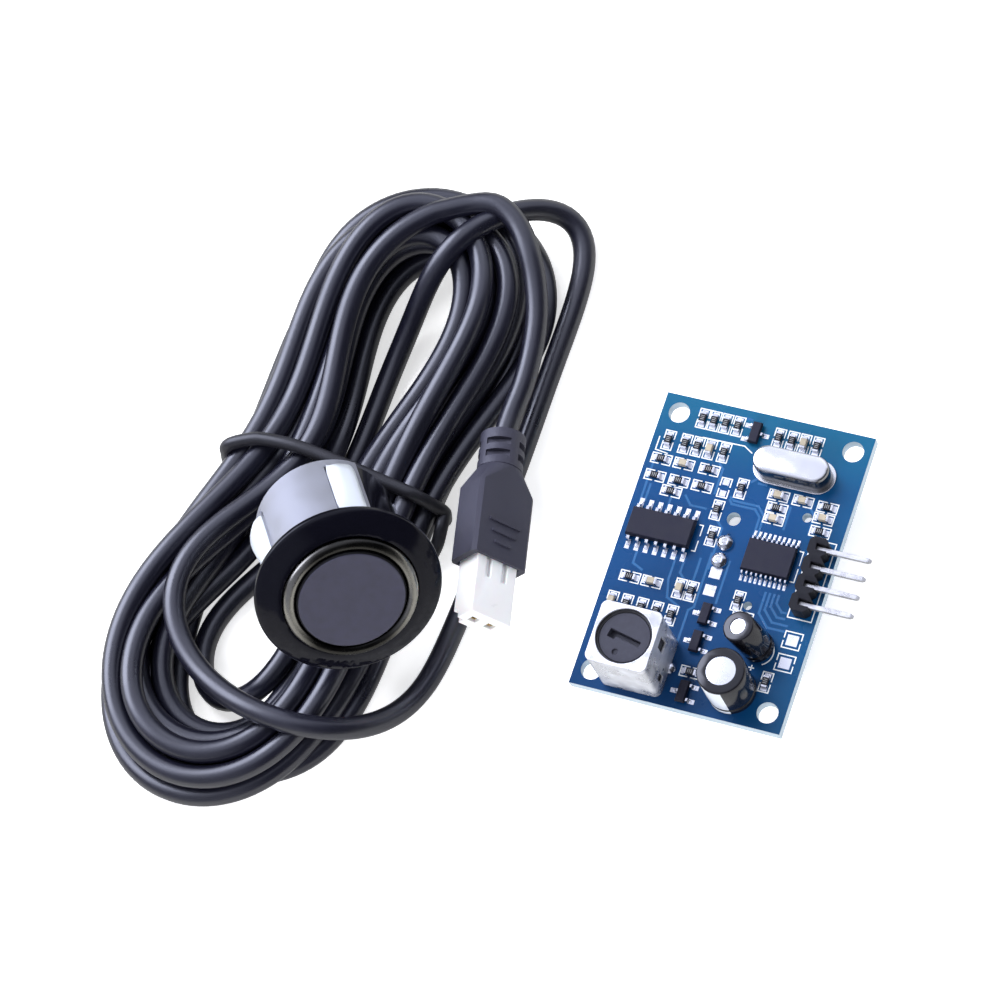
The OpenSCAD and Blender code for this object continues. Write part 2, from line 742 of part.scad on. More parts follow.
module transducer_cup() {
  color("#3f3f47") at_probe() rotate_extrude($fn = fine) polygon([
    [0, face_z], [face_r - 0.3, face_z], [face_r, face_z - 0.3], [face_r, face_z - cup_l],
    [face_r - cup_wall, face_z - cup_l], [face_r - cup_wall, face_z - cup_wall],
    [0, face_z - cup_wall]
  ]);
}

module piezo_disc() {
  color("goldenrod") at_probe() translate([0, 0, face_z - cup_wall - piezo_t])
    cylinder(d = piezo_d, h = piezo_t, $fn = fine);
}

pad_z = face_z - cup_wall - piezo_t;
wire_bore = 0.8;

module damping_pad() {
  color("burlywood") at_probe() translate([0, 0, pad_z - pad_t]) difference() {
    cylinder(r = face_r - cup_wall, h = pad_t, $fn = fine);
    for (x = [-2, 2]) translate([x, 0, -cut]) cylinder(d = wire_bore, h = pad_t + 2 * cut, $fn = 24);
  }
}

module probe_wires() {
  color("firebrick") at_probe() for (x = [-2, 2])
    translate([x, 0, -barrel_l + 0.6 + potting_l]) cylinder(
      d = wire_bore - 0.2, h = pad_z + barrel_l - 0.6 - potting_l, $fn = 24);
}

module potting() {
  color("#1a1a1c") at_probe() translate([0, 0, -barrel_l + 0.6])
    cylinder(r = bore_r, h = potting_l, $fn = fine);
}

// The clip: a sheet-metal band open on one side, with four bowed leaves pressed out of it
clip_in = barrel_r + 0.02;
clip_out = clip_in + clip_t;
clip_front = -rim_t - 0.6;
clip_back = -barrel_l + 0.1;
tab_half = 11;
tab_slit = 1.2;
tab_front = clip_front - 1.8;
tab_back = clip_back + 1.6;
tab_bow = 1.5;

// The band's outline, open on one side; angles are measured clockwise from the top
module band_outline() {
  sweep = clip_gap_start + 360 - clip_gap_end;
  steps = 60;
  polygon(concat(
    [for (k = [0 : steps]) clip_out * spoke(clip_gap_end + sweep * k / steps)],
    [for (k = [steps : -1 : 0]) clip_in * spoke(clip_gap_end + sweep * k / steps)]
  ));
}

function spoke(a) = [sin(a), cos(a)];

module spring_clip() {
  window = tab_half + tab_slit;
  reach = clip_out + 2;
  color("silver") at_probe() {
    difference() {
      translate([0, 0, clip_back]) linear_extrude(clip_front - clip_back) band_outline();
      for (a = clip_tabs)
        translate([0, 0, tab_back]) linear_extrude(tab_front - tab_back)
          polygon([[0, 0], reach * spoke(a - window), reach * spoke(a + window)]);
    }
    for (a = clip_tabs) clip_leaf(a);
  }
}

// One leaf: it joins the band at the back, bows out and comes down again near the bezel
module clip_leaf(a) {
  root = 0.5;
  lift = 0.05;
  span = tab_front - tab_back - 0.4;
  steps = 10;
  leaf = concat(
    [[0, -root]],
    [for (k = [0 : steps]) [tab_bow * sin(180 * k / steps), span * k / steps]]
  );
  rotate([0, 0, 90 - a]) translate([clip_in + lift, 0, tab_back]) rotate([90, 0, 0])
    linear_extrude(2 * clip_in * sin(tab_half), center = true)
      polygon(concat(leaf, [for (k = [steps + 1 : -1 : 0]) leaf[k] + [clip_t, 0]]));
}

module probe_boot() {
  color("#202022") at_probe() translate([0, 0, -barrel_l + 0.6 - boot_l]) difference() {
    cylinder(d1 = boot_d - 1, d2 = boot_d, h = boot_l, $fn = fine);
    translate([0, 0, -cut]) cylinder(d = lead_d, h = 1.5 + cut, $fn = fine);
  }
}

// Lead, in its hank, and the tie

module hank_outline() {
  hull() {
    translate([far_loop[0], far_loop[1]]) circle(r = far_loop[2], $fn = coarse);
    translate([waist[0], waist[1]]) circle(r = waist[2], $fn = coarse);
  }
  hull() {
    translate([near_loop[0], near_loop[1]]) circle(r = near_loop[2], $fn = coarse);
    translate([waist[0], waist[1]]) circle(r = waist[2], $fn = coarse);
  }
}

// The lowest turn, which runs wide of the waist and under the front of the plug
module wide_turn_outline() {
  hull() {
    translate([-34.5, 36]) circle(r = 2, $fn = coarse);
    translate([-35, -6]) circle(r = 2, $fn = coarse);
    translate([-45, 10]) circle(r = 4, $fn = coarse);
  }
  hull() {
    translate([-30.3, -10.5]) circle(r = 2.2, $fn = coarse);
    translate([-31.5, -18]) circle(r = 2.2, $fn = coarse);
    translate([-38, -30]) circle(r = 4, $fn = coarse);
    translate([-44, -8]) circle(r = 4, $fn = coarse);
  }
}

module lead_hank() {
  color("#1b1b1f") difference() {
    union() {
      linear_extrude(hank_h) hank_outline();
      linear_extrude(lay_h) wide_turn_outline();
    }
    tie_place() difference() {
      translate([-40, -tie_d / 2 - 0.2, -cut]) cube([80, tie_d + 0.4, hank_h + 2 * cut]);
      translate([0, 5, 0]) rotate([90, 0, 0]) tie_section(tie_d + 0.2, 10);
    }
    at_probe() {
      translate([0, 0, -barrel_l - soft_gap])
        cylinder(r = clip_out + soft_gap, h = barrel_l * 2, $fn = fine);
      translate([0, 0, -rim_t - soft_gap])
        cylinder(r = bezel_d / 2 + soft_gap, h = barrel_l, $fn = fine);
      translate([0, 0, -barrel_l - boot_l])
        cylinder(r = boot_d / 2 + soft_gap, h = barrel_l, $fn = fine);
      for (a = clip_tabs) rotate([0, 0, -a])
        translate([-clip_out * sin(tab_half) - soft_gap, 0, tab_back - soft_gap])
          cube([2 * (clip_out * sin(tab_half) + soft_gap), clip_out + tab_bow + soft_gap,
            tab_front - tab_back + 2 * soft_gap]);
    }
    at_plug() {
      translate([0, 0, -0.3]) cylinder(d = sleeve_d + 2 * soft_gap, h = sleeve_l + 1, $fn = coarse);
      translate([-plug_w / 2 - soft_gap, -plug_t / 2 - soft_gap, sleeve_l])
        cube([plug_w + 2 * soft_gap, plug_t + 2 * soft_gap, shoulder_l + plug_body_l + soft_gap]);
    }
  }
}

// Moves its children to the waist, where the tie lies across the hank
module tie_place() {
  translate([waist[0], waist[1] + 0.6, 0]) rotate([0, 0, tie_turn]) children();
}

// Outline of what the tie holds, set in from the tie's outer edge
tie_half_w = waist[2] + 0.2;
tie_top = hank_h + 1.2;
module tie_section(inset, depth) {
  corner = 3;
  w = tie_half_w - inset;
  linear_extrude(depth) {
    translate([-w + corner, inset]) square([2 * (w - corner), tie_top - 2 * inset]);
    translate([-w, inset + corner]) square([2 * w, tie_top - 2 * inset - 2 * corner]);
    for (x = [-w + corner, w - corner])
      for (z = [inset + corner, tie_top - inset - corner])
        translate([x, z]) circle(r = corner, $fn = 32);
  }
}

module hank_tie() {
  color("#242427") tie_place() translate([0, tie_d / 2, 0]) rotate([90, 0, 0]) difference() {
    tie_section(0.02, tie_d);
    translate([0, 0, -cut]) tie_section(tie_d, tie_d + 2 * cut);
  }
}

module lead_from_probe() {
  color("#1b1b1f") lead_tube(lead_from_probe_points, lead_d);
}

module lead_to_plug() {
  color("#1b1b1f") lead_tube(lead_to_plug_points, lead_d);
}

// Plug, along its own axis: the sleeve starts at zero and the nose points away

shoulder_z = sleeve_l + shoulder_l;
body_end = shoulder_z + plug_body_l;
slot_rows = [1.4, 3.2];

module plug_overmould() {
  color("#29292d") at_plug() difference() {
    union() {
      cylinder(d = sleeve_d, h = sleeve_l, $fn = coarse);
      hull() {
        translate([0, 0, sleeve_l - 0.1]) cylinder(d = sleeve_d - 0.2, h = 0.1, $fn = coarse);
        translate([0, 0, shoulder_z]) plug_block(0.1);
      }
      translate([0, 0, shoulder_z]) plug_block(plug_body_l);
      for (k = [0, 1, 2])
        translate([-(4.8 - 1.1 * k) / 2, plug_t / 2, shoulder_z + 5.2 + 1.5 * k])
          cube([4.8 - 1.1 * k, 0.25, 0.4]);
    }
    translate([0, 0, -cut]) cylinder(d = lead_d, h = 3 + cut, $fn = coarse);
    for (z = slot_rows)
      for (a = [0 : 90 : 270])
        rotate([0, 0, a + 45]) translate([-1.6, sleeve_d / 2 - 0.75, z]) cube([3.2, 2, 0.9]);
    translate([-plug_w / 2 + 0.9, -plug_t / 2 + 0.5, body_end - recess_l])
      cube([plug_w - 1.8, plug_t - 1, 3]);
    translate([-nose_w / 2, -nose_t / 2, body_end - recess_l - 2])
      cube([nose_w, nose_t, 4]);
  }
}

// The plug's body: a block with chamfered edges along its length
module plug_block(h) {
  c = 0.5;
  linear_extrude(h) polygon([
    [-plug_w / 2 + c, -plug_t / 2], [plug_w / 2 - c, -plug_t / 2], [plug_w / 2, -plug_t / 2 + c],
    [plug_w / 2, plug_t / 2 - c], [plug_w / 2 - c, plug_t / 2], [-plug_w / 2 + c, plug_t / 2],
    [-plug_w / 2, plug_t / 2 - c], [-plug_w / 2, -plug_t / 2 + c]
  ]);
}

nose_start = body_end - recess_l - 2;
nose_end = body_end + nose_l;

module plug_housing() {
  groove_w = 0.8;
  color("white") at_plug() difference() {
    translate([-nose_w / 2, -nose_t / 2, nose_start]) cube([nose_w, nose_t, nose_end - nose_start]);
    for (x = [-1, 1])
      translate([x * 1.25 - contact_bore / 2, -contact_bore / 2, nose_start + 1])
        cube([contact_bore, contact_bore, nose_end]);
    for (x = [-1.25, 1.25])
      translate([x - groove_w / 2, nose_t / 2 - 0.6, body_end - 1]) cube([groove_w, 2, 3.6]);
    translate([-nose_w / 2 - cut, -nose_t / 2 - cut, nose_end - 1.2]) cube([0.9 + cut, 1 + cut, 3]);
  }
}

module plug_contact(side) {
  gap = contact_bore - contact_w;
  color("goldenrod") at_plug()
    translate([side * 1.25 - contact_w / 2, -contact_w / 2, nose_start + 1])
      difference() {
        cube([contact_w, contact_w, nose_end - nose_start - 1.4]);
        translate([gap, gap, 3]) cube([contact_w - 2 * gap, contact_w - 2 * gap, 20]);
      }
}

circuit_board();
solder_joints();
socket_shroud();
socket_pin(0);  // socket_pin_1
socket_pin(1);  // socket_pin_2
header_strip();
header_pin_n(0);  // header_pin_1
header_pin_n(1);  // header_pin_2
header_pin_n(2);  // header_pin_3
header_pin_n(3);  // header_pin_4
transformer_can();
transformer_frame();
tuning_core();
transformer_drum();
transformer_winding();
transformer_pins();
large_capacitor_can();
large_capacitor_sleeve();
large_capacitor_bung();
large_capacitor_leads();
small_capacitor_can();
small_capacitor_sleeve();
small_capacitor_bung();
small_capacitor_leads();
crystal_can();
crystal_base();
crystal_leads();
amplifier_chip();
amplifier_leads();
controller_chip();
controller_leads();
transistor(0);  // transistor_1
transistor(1);  // transistor_2
transistor(2);  // transistor_3
transistor(3);  // transistor_4
transistor_leads();
chip_resistors();
chip_capacitors();
chip_end_caps();
probe_housing();
isolation_ring();
transducer_cup();
piezo_disc();
damping_pad();
probe_wires();
potting();
spring_clip();
probe_boot();
lead_hank();
lead_from_probe();
lead_to_plug();
hank_tie();
plug_overmould();
plug_housing();
plug_contact(-1);  // plug_contact_1
plug_contact(1);  // plug_contact_2
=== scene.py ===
import math

import bmesh
import bpy
import numpy as np
from mathutils import Matrix, Vector


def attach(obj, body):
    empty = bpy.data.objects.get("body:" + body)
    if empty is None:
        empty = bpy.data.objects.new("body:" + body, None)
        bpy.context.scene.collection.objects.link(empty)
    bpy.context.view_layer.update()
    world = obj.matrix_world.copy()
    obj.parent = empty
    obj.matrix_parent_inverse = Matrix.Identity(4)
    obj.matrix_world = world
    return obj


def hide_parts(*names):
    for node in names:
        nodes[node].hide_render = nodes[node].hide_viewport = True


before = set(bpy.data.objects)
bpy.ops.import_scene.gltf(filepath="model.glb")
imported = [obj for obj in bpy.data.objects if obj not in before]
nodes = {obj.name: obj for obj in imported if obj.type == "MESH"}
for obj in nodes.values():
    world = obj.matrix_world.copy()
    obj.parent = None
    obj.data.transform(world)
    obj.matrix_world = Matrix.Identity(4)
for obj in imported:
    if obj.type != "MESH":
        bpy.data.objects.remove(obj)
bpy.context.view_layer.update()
scene = bpy.context.scene

# Camera, light and table
# A long lens looks down from the front and right of the board, rolled anticlockwise. The room is seen
# plain white, but polished and dark surfaces mirror a darker room with panels above, at the left, in
# front and behind, which give the narrow highlights of the product picture.
camera = bpy.data.objects.new("camera", bpy.data.cameras.new("camera"))
scene.collection.objects.link(camera)
scene.camera = camera
camera.data.lens = 164.6
camera.data.sensor_width = 36
camera.data.clip_start = 0.05
camera.data.clip_end = 20
camera_right = Vector((0.91716, 0.31834, -0.23974)).normalized()
camera_back = Vector((0.33382, -0.28511, 0.89849)).normalized()
camera_up = camera_back.cross(camera_right)
camera.matrix_world = Matrix.Translation((0.16629, -0.16769, 0.53909)) @ Matrix(
    (camera_right, camera_up, camera_back)
).transposed().to_4x4()
scene.view_settings.view_transform = "Standard"


def soft_box(name, place, aim, width, height, power, colour):
    """A rectangular lamp, which lights but isn't mirrored."""
    light = bpy.data.lights.new(name, "AREA")
    light.shape = "RECTANGLE"
    light.size = width
    light.size_y = height
    light.energy = power
    light.color = colour
    lamp = bpy.data.objects.new(name, light)
    scene.collection.objects.link(lamp)
    lamp.location = place
    lamp.rotation_mode = "QUATERNION"
    lamp.rotation_quaternion = (Vector(aim) - Vector(place)).to_track_quat("-Z", "Y")
    lamp.visible_glossy = False


soft_box("key_light", (-0.5, 0.35, 0.75), (-0.04, 0, 0), 0.5, 0.7, 12, (0.97, 0.98, 1))
soft_box("front_light", (-0.1, -0.8, 0.55), (-0.03, 0, 0), 0.6, 0.3, 6, (0.97, 0.98, 1))
soft_box("right_light", (0.7, 0.1, 0.5), (-0.03, 0, 0), 0.3, 0.3, 2, (0.96, 0.97, 1))


def wired(tree, kind, inputs, **settings):
    """A new shader node. Each input is linked to the socket, or set to the value, that is given."""
    made = tree.nodes.new("ShaderNode" + kind)
    for name, value in settings.items():
        setattr(made, name, value)
    for name, value in inputs.items():
        if isinstance(value, bpy.types.NodeSocket):
            tree.links.new(value, made.inputs[name])
        else:
            made.inputs[name].default_value = value
    return made


def worked(tree, operation, *values):
    """What a Math node makes of sockets or numbers."""
    return wired(tree, "Math", dict(enumerate(values)), operation=operation).outputs["Value"]


def ramp(tree, value, start, full, low=0.0, high=1.0, kind="LINEAR"):
    """What a Map Range node makes of a value: low at start and before it, high at full and past it."""
    sizes = {"Value": value, "From Min": start, "From Max": full, "To Min": low, "To Max": high}
    return wired(tree, "MapRange", sizes, interpolation_type=kind).outputs["Result"]


world = bpy.data.worlds.new("room")
scene.world = world
world.use_nodes = True
tree = world.node_tree
tree.nodes.clear()
outwards = wired(tree, "TexCoord", {}).outputs["Generated"]
room_light = 0.05
# Where each panel stands, how far from its middle it fades out and is full, and how bright it is
for towards, faded, full, bright in (
    ((-0.334, 0.285, 0.898), 0.48, 0.95, 1.2),
    ((-0.82, 0.14, 0.55), 0.83, 0.95, 6),
    ((-0.25, -0.9, 0.35), 0.66, 0.84, 0.4),
    ((0.2, 0.95, 0.3), 0.75, 0.9, 0.8),
):
    towards = Vector(towards).normalized()
    nearness = wired(tree, "VectorMath", {0: outwards, 1: towards}, operation="DOT_PRODUCT")
    panel = ramp(tree, nearness.outputs["Value"], faded, full, 0, bright, "SMOOTHSTEP")
    room_light = worked(tree, "ADD", panel, room_light)
mirrored = wired(tree, "Background", {"Color": (0.76, 0.8, 1, 1), "Strength": room_light})
lit = wired(tree, "Background", {"Color": (0.9, 0.92, 1, 1), "Strength": 0.4})
seen = wired(tree, "Background", {"Color": (1, 1, 1, 1), "Strength": 1})
ray = wired(tree, "LightPath", {})
unseen = wired(
    tree, "MixShader", {"Fac": ray.outputs["Is Glossy Ray"], 1: lit.outputs[0], 2: mirrored.outputs[0]}
)
room = wired(
    tree, "MixShader", {"Fac": ray.outputs["Is Camera Ray"], 1: unseen.outputs[0], 2: seen.outputs[0]}
)
wired(tree, "OutputWorld", {"Surface": room.outputs[0]})

bpy.ops.mesh.primitive_plane_add(size=3, location=(0, 0, -0.00002))
table = bpy.context.object
table.name = "white_table"
table_white = bpy.data.materials.new("table_white")
table_white.use_nodes = True
table.data.materials.append(table_white)
tree = table_white.node_tree
shader = tree.nodes["Principled BSDF"]
shader.inputs["Base Color"].default_value = (0.9, 0.9, 0.9, 1)
shader.inputs["Roughness"].default_value = 0.9
shader.inputs["Specular IOR Level"].default_value = 0.1
shader.inputs["Emission Color"].default_value = (1, 1, 1, 1)
shader.inputs["Emission Strength"].default_value = 0.62
# It is mirrored darker than it is seen, as if the room ended close behind the picture
dim = wired(tree, "Emission", {"Strength": 0.05})
ray = wired(tree, "LightPath", {})
dimmed = worked(tree, "MULTIPLY", ray.outputs["Is Glossy Ray"], 0.6)
both = wired(tree, "MixShader", {"Fac": dimmed, 1: shader.outputs["BSDF"], 2: dim.outputs["Emission"]})
tree.links.new(both.outputs["Shader"], tree.nodes["Material Output"].inputs["Surface"])

# Lead
# The probe's two-core lead: 2.5 m of black PVC, 3 mm thick, wound by hand in eleven turns. It is first
# drawn as a loose stack of turns, then let down on the table until the strands lie on one another.


def surface(name, colour, rough, metal=0.0, grain=(9000, 0.1), cloud=(400, 0.15), wear=0.08, coat=0.0):
    """A material with fine grain in its relief, and clouds in its colour and roughness."""
    made = bpy.data.materials.new(name)
    made.use_nodes = True
    tree = made.node_tree
    shader = tree.nodes["Principled BSDF"]
    shader.inputs["Metallic"].default_value = metal
    shader.inputs["Coat Weight"].default_value = coat
    shader.inputs["Coat Roughness"].default_value = 0.08
    place = wired(tree, "TexCoord", {}).outputs["Object"]
    fine = wired(tree, "TexNoise", {"Vector": place, "Scale": grain[0], "Detail": 4})
    bump = wired(tree, "Bump", {"Height": fine.outputs["Fac"], "Strength": grain[1], "Distance": 0.00005})
    clouds = wired(tree, "TexNoise", {"Vector": place, "Scale": cloud[0], "Detail": 6}).outputs["Fac"]
    tint = ramp(tree, clouds, 0, 1, 1 - cloud[1], 1 + cloud[1])
    shade = wired(tree, "VectorMath", {0: colour, "Scale": tint}, operation="SCALE")
    gloss = ramp(tree, clouds, 0.3, 0.7, max(rough - wear, 0.02), rough + wear)
    tree.links.new(bump.outputs["Normal"], shader.inputs["Normal"])
    tree.links.new(shade.outputs["Vector"], shader.inputs["Base Color"])
    tree.links.new(gloss, shader.inputs["Roughness"])
    return made


def shine(material, level):
    """Sets how strongly a material mirrors at a right angle, where 0.5 is plain plastic."""
    material.node_tree.nodes["Principled BSDF"].inputs["Specular IOR Level"].default_value = level


# One row a turn, from the lowest up, in millimetres: across at the waist, at the far loop's left, its
# top along the table, across at its right, at the waist's right, at the near loop's right, the near
# loop's bottom along the table, and across at its left
turns = [
    (-59.2, -61.0, 37.5, -41.1, -43.8, -46.6, -42.8, -71.8),
    (-64.2, -63.6, 38.6, -40.6, -46.0, -47.2, -44.4, -73.4),
    (-61.3, -61.6, 37.2, -42.8, -49.0, -48.5, -41.1, -70.7),
    (-65.6, -65.0, 41.4, -35.8, -43.8, -46.4, -45.6, -74.2),
    (-62.7, -64.0, 39.0, -40.7, -46.5, -47.1, -42.2, -72.4),
    (-60.4, -60.9, 36.5, -43.5, -51.0, -49.6, -39.6, -69.9),
    (-65.0, -65.6, 38.6, -39.8, -44.5, -46.4, -44.4, -74.0),
    (-62.0, -63.2, 39.2, -41.5, -48.0, -47.8, -41.1, -72.7),
    (-65.4, -64.4, 38.3, -39.7, -44.0, -46.2, -45.4, -73.8),
    (-63.8, -62.0, 38.8, -41.5, -47.5, -47.4, -42.7, -72.0),
    (-61.3, -61.2, 35.8, -43.8, -52.0, -50.0, -38.8, -68.8),
]
lead_r = 1.5
last_turn = len(turns) - 1
half_turn = [math.radians(180 - 30 * i) for i in range(7)]
# The lead leaves the probe's boot and goes down to the table
knots = [
    (-51.1, -8.5, 13.9), (-52, -7.5, 13.1), (-53.3, -6.1, 11.7), (-55.3, -3.7, 9), (-57.4, 0.5, 6.5),
    (-60, 8, 3.5),
]
for k, (waist_l, far_l, far_top, far_r, waist_r, near_r, near_low, near_l) in enumerate(turns):
    next_waist = turns[k + 1][0] if k < last_turn else -54.6
    far = (far_l + far_r) / 2, (far_r - far_l) / 2
    near = (near_l + near_r) / 2, (near_r - near_l) / 2
    ring = [(waist_l, 1)]
    ring += [(far[0] + far[1] * math.cos(a), far_top + far[1] * (math.sin(a) - 1)) for a in half_turn]
    ring += [(waist_r + 0.45 * (far_r - waist_r), 12), (waist_r, 1)]
    ring += [(waist_r + 0.3 * (near_r - waist_r), -9)]
    ring += [(near[0] - near[1] * math.cos(a), near_low - near[1] * (math.sin(a) - 1)) for a in half_turn]
    ring += [((near_l + next_waist) / 2 + 0.8, -9)]
    climb = [(x, y, 3 * k + 3 * i / len(ring) + lead_r) for i, (x, y) in enumerate(ring)]
    if k == 0:
        climb = climb[1:]
    if k == last_turn:
        climb = climb[:11] + [
            (-49.8, -19, 33), (-50.8, -26.6, 33), (-53, -30.6, 32), (-57.2, -33.3, 29), (-62, -32.5, 24),
            (-66.2, -29, 19), (-66.8, -24, 14), (-65.2, -18, 9), (-61.4, -14.8, 6), (-57.6, -10, 3),
        ]
    knots += climb
# The wide turn: through the waist below the probe's end of the lead, over the far loop, down under
# the plug and back across the near loop; then the last half turn, which lies on top and ends in the plug
knots += [
    (-55.4, -3.5, 1.5), (-55.4, 4, 1.6), (-54.8, 12, 7), (-53.2, 20.5, 16), (-50.4, 28, 26),
    (-47, 33.5, 34), (-44, 39.2, 36), (-40.8, 44.6, 36), (-37.4, 45.6, 36), (-34.4, 43, 33),
    (-33.6, 37.8, 28), (-33.2, 29.9, 20), (-32.9, 21, 12), (-32.7, 13.6, 3), (-32.7, 6, 1.6),
    (-33, -2, 1.6), (-33.3, -10, 1.6), (-33.7, -17, 4), (-34.7, -24, 16), (-38.1, -31.2, 28),
    (-44.6, -35.8, 38), (-51.3, -35.8, 38), (-57.6, -33.6, 38), (-63.6, -30, 38), (-68.6, -25.2, 38),
    (-70.4, -19.7, 38), (-68.7, -13.6, 38), (-63.4, -6.6, 38),
    (-60, 0.5, 38), (-59.5, 9, 38), (-59.8, 17, 38), (-59.2, 24.1, 39), (-57.2, 31.1, 39),
    (-54.2, 34.8, 38), (-50.4, 37.2, 37.5), (-47.4, 38.9, 37), (-44.2, 39.6, 37), (-40.8, 37.8, 36.6),
    (-38, 34.4, 36), (-36.2, 31, 35), (-34.8, 26.9, 34), (-34, 22.2, 33.4), (-33.7, 17.2, 33),
    (-33.8, 13, 33.1), (-33.6, 9.3, 33.5),
]


def smooth_route(knots, step):
    """Points at an even step, in millimetres, along a centripetal curve through the knots."""
    p = np.array(knots, float)
    p = np.vstack([2 * p[0] - p[1], p, 2 * p[-1] - p[-2]])
    out = []
    for a, b, c, d in zip(p[:-3], p[1:-2], p[2:-1], p[3:]):
        ta = 0
        tb = ta + np.linalg.norm(b - a) ** 0.5
        tc = tb + np.linalg.norm(c - b) ** 0.5
        td = tc + np.linalg.norm(d - c) ** 0.5
        t = np.linspace(tb, tc, 20, endpoint=False)[:, None]
        ab = (tb - t) / (tb - ta) * a + (t - ta) / (tb - ta) * b
        bc = (tc - t) / (tc - tb) * b + (t - tb) / (tc - tb) * c
        cd = (td - t) / (td - tc) * c + (t - tc) / (td - tc) * d
        abc = (tc - t) / (tc - ta) * ab + (t - ta) / (tc - ta) * bc
        bcd = (td - t) / (td - tb) * bc + (t - tb) / (td - tb) * cd
        out.append((tc - t) / (tc - tb) * abc + (t - tb) / (tc - tb) * bcd)
    out.append(p[-2][None])
    dense = np.vstack(out)
    along = np.r_[0, np.cumsum(np.linalg.norm(np.diff(dense, axis=0), axis=1))]
    even = np.linspace(0, along[-1], int(round(along[-1] / step)) + 1)
    return np.stack([np.interp(even, along, dense[:, i]) for i in range(3)], 1)


# How the probe lies, in millimetres: the middle of its rim, its axis towards the face, and how near the
# middle of a strand can come to that axis beside the bezel and the barrel
probe_axis = np.array([0.5795, -0.6436, 0.5])
probe_rim = np.array([-40.5, -20.2, 23])
bezel_reach, bezel_half = 13.6, 2.6
barrel_reach, barrel_long = 10.5, 19
# The same for the plug: first its slotted sleeve, which is narrower and thicker, then its body
plug_start = np.array([-33.6, 9.3, 7.5])
plug_axis = np.array([0.256, -0.957, 0.139])
plug_axis = plug_axis / np.linalg.norm(plug_axis)
sleeve_long, plug_long = 8.6, 28
sleeve_reach, plug_thick_reach, plug_wide_reach = 4.5, 4.15, 5.8
plug_flat = np.array([0.718, 0.289, 0.633])
plug_flat = plug_flat - plug_flat @ plug_axis * plug_axis
plug_flat = plug_flat / np.linalg.norm(plug_flat)
plug_side = np.cross(plug_flat, plug_axis)


def underside(points, radius, back, front):
    """Which points have a round bar along the probe's axis over or under them, and its lower height."""
    r = points - probe_rim
    lean = r[:, 0] * probe_axis[0] + r[:, 1] * probe_axis[1]
    flat = 1 - probe_axis[2] ** 2
    inside = (probe_axis[2] * lean) ** 2 - flat * (r[:, 0] ** 2 + r[:, 1] ** 2 - lean**2 - radius**2)
    drop = (probe_axis[2] * lean - np.sqrt(np.maximum(inside, 0))) / flat
    along = lean + probe_axis[2] * drop
    return (inside > 0) & (along > back) & (along < front), probe_rim[2] + drop


def close_pairs(points, within):
    """Pairs of points nearer than this that don't just follow one another along the lead."""
    square = (points**2).sum(1)
    near = square[:, None] + square[None] - 2 * points @ points.T
    one, two = np.where(near < within**2)
    apart = two - one > 5
    return one[apart], two[apart]


def parting(points, one, two, gap):
    """How each point moves for its pairs to come this far apart: the mean of what they ask for."""
    span = points[one] - points[two]
    size = np.linalg.norm(span, axis=1)
    hit = size < gap
    one, two, span, size = one[hit], two[hit], span[hit], np.maximum(size[hit], 1e-6)
    away = 0.5 * ((gap - size) / size)[:, None] * span
    push = np.zeros_like(points)
    shares = np.zeros(len(points))
    for ends, way in ((one, away), (two, -away)):
        np.add.at(push, ends, way)
        np.add.at(shares, ends, 1)
    return push / np.maximum(shares, 1)[:, None]


lead = smooth_route(knots, 1.8)
count = len(lead)
home = lead[:, :2].copy()
start = lead[:4].copy()
# How near one another strands are watched, and how near they touch
watched, touching = 5.2, 2 * lead_r + 0.04
# The end by the plug, the probe and the tie start this much too high and come down with the strands
raised = 26
# How many points leave the boot at their drawn length, aren't pushed down by the probe, and are held
# at the other end by the plug
leaving, by_probe, held = 12, 14, 24
end = lead[-held:] - (0, 0, raised)
under_probe_right = -42.6
hank_right = -38
tie_middle, tie_half, tie_height = 0.6, 3.5, 7.3
# Rest lengths are those along the table, a little drawn in, with a fifth of the climb
step = np.diff(lead, axis=0)
rest = np.sqrt(step[:, 0] ** 2 + step[:, 1] ** 2 + (0.2 * step[:, 2]) ** 2)[:, None]
rest *= 0.985
rest[:leaving] = np.linalg.norm(step[:leaving], axis=1)[:, None]
rest[-held:] = np.linalg.norm(step[-held:], axis=1)[:, None]
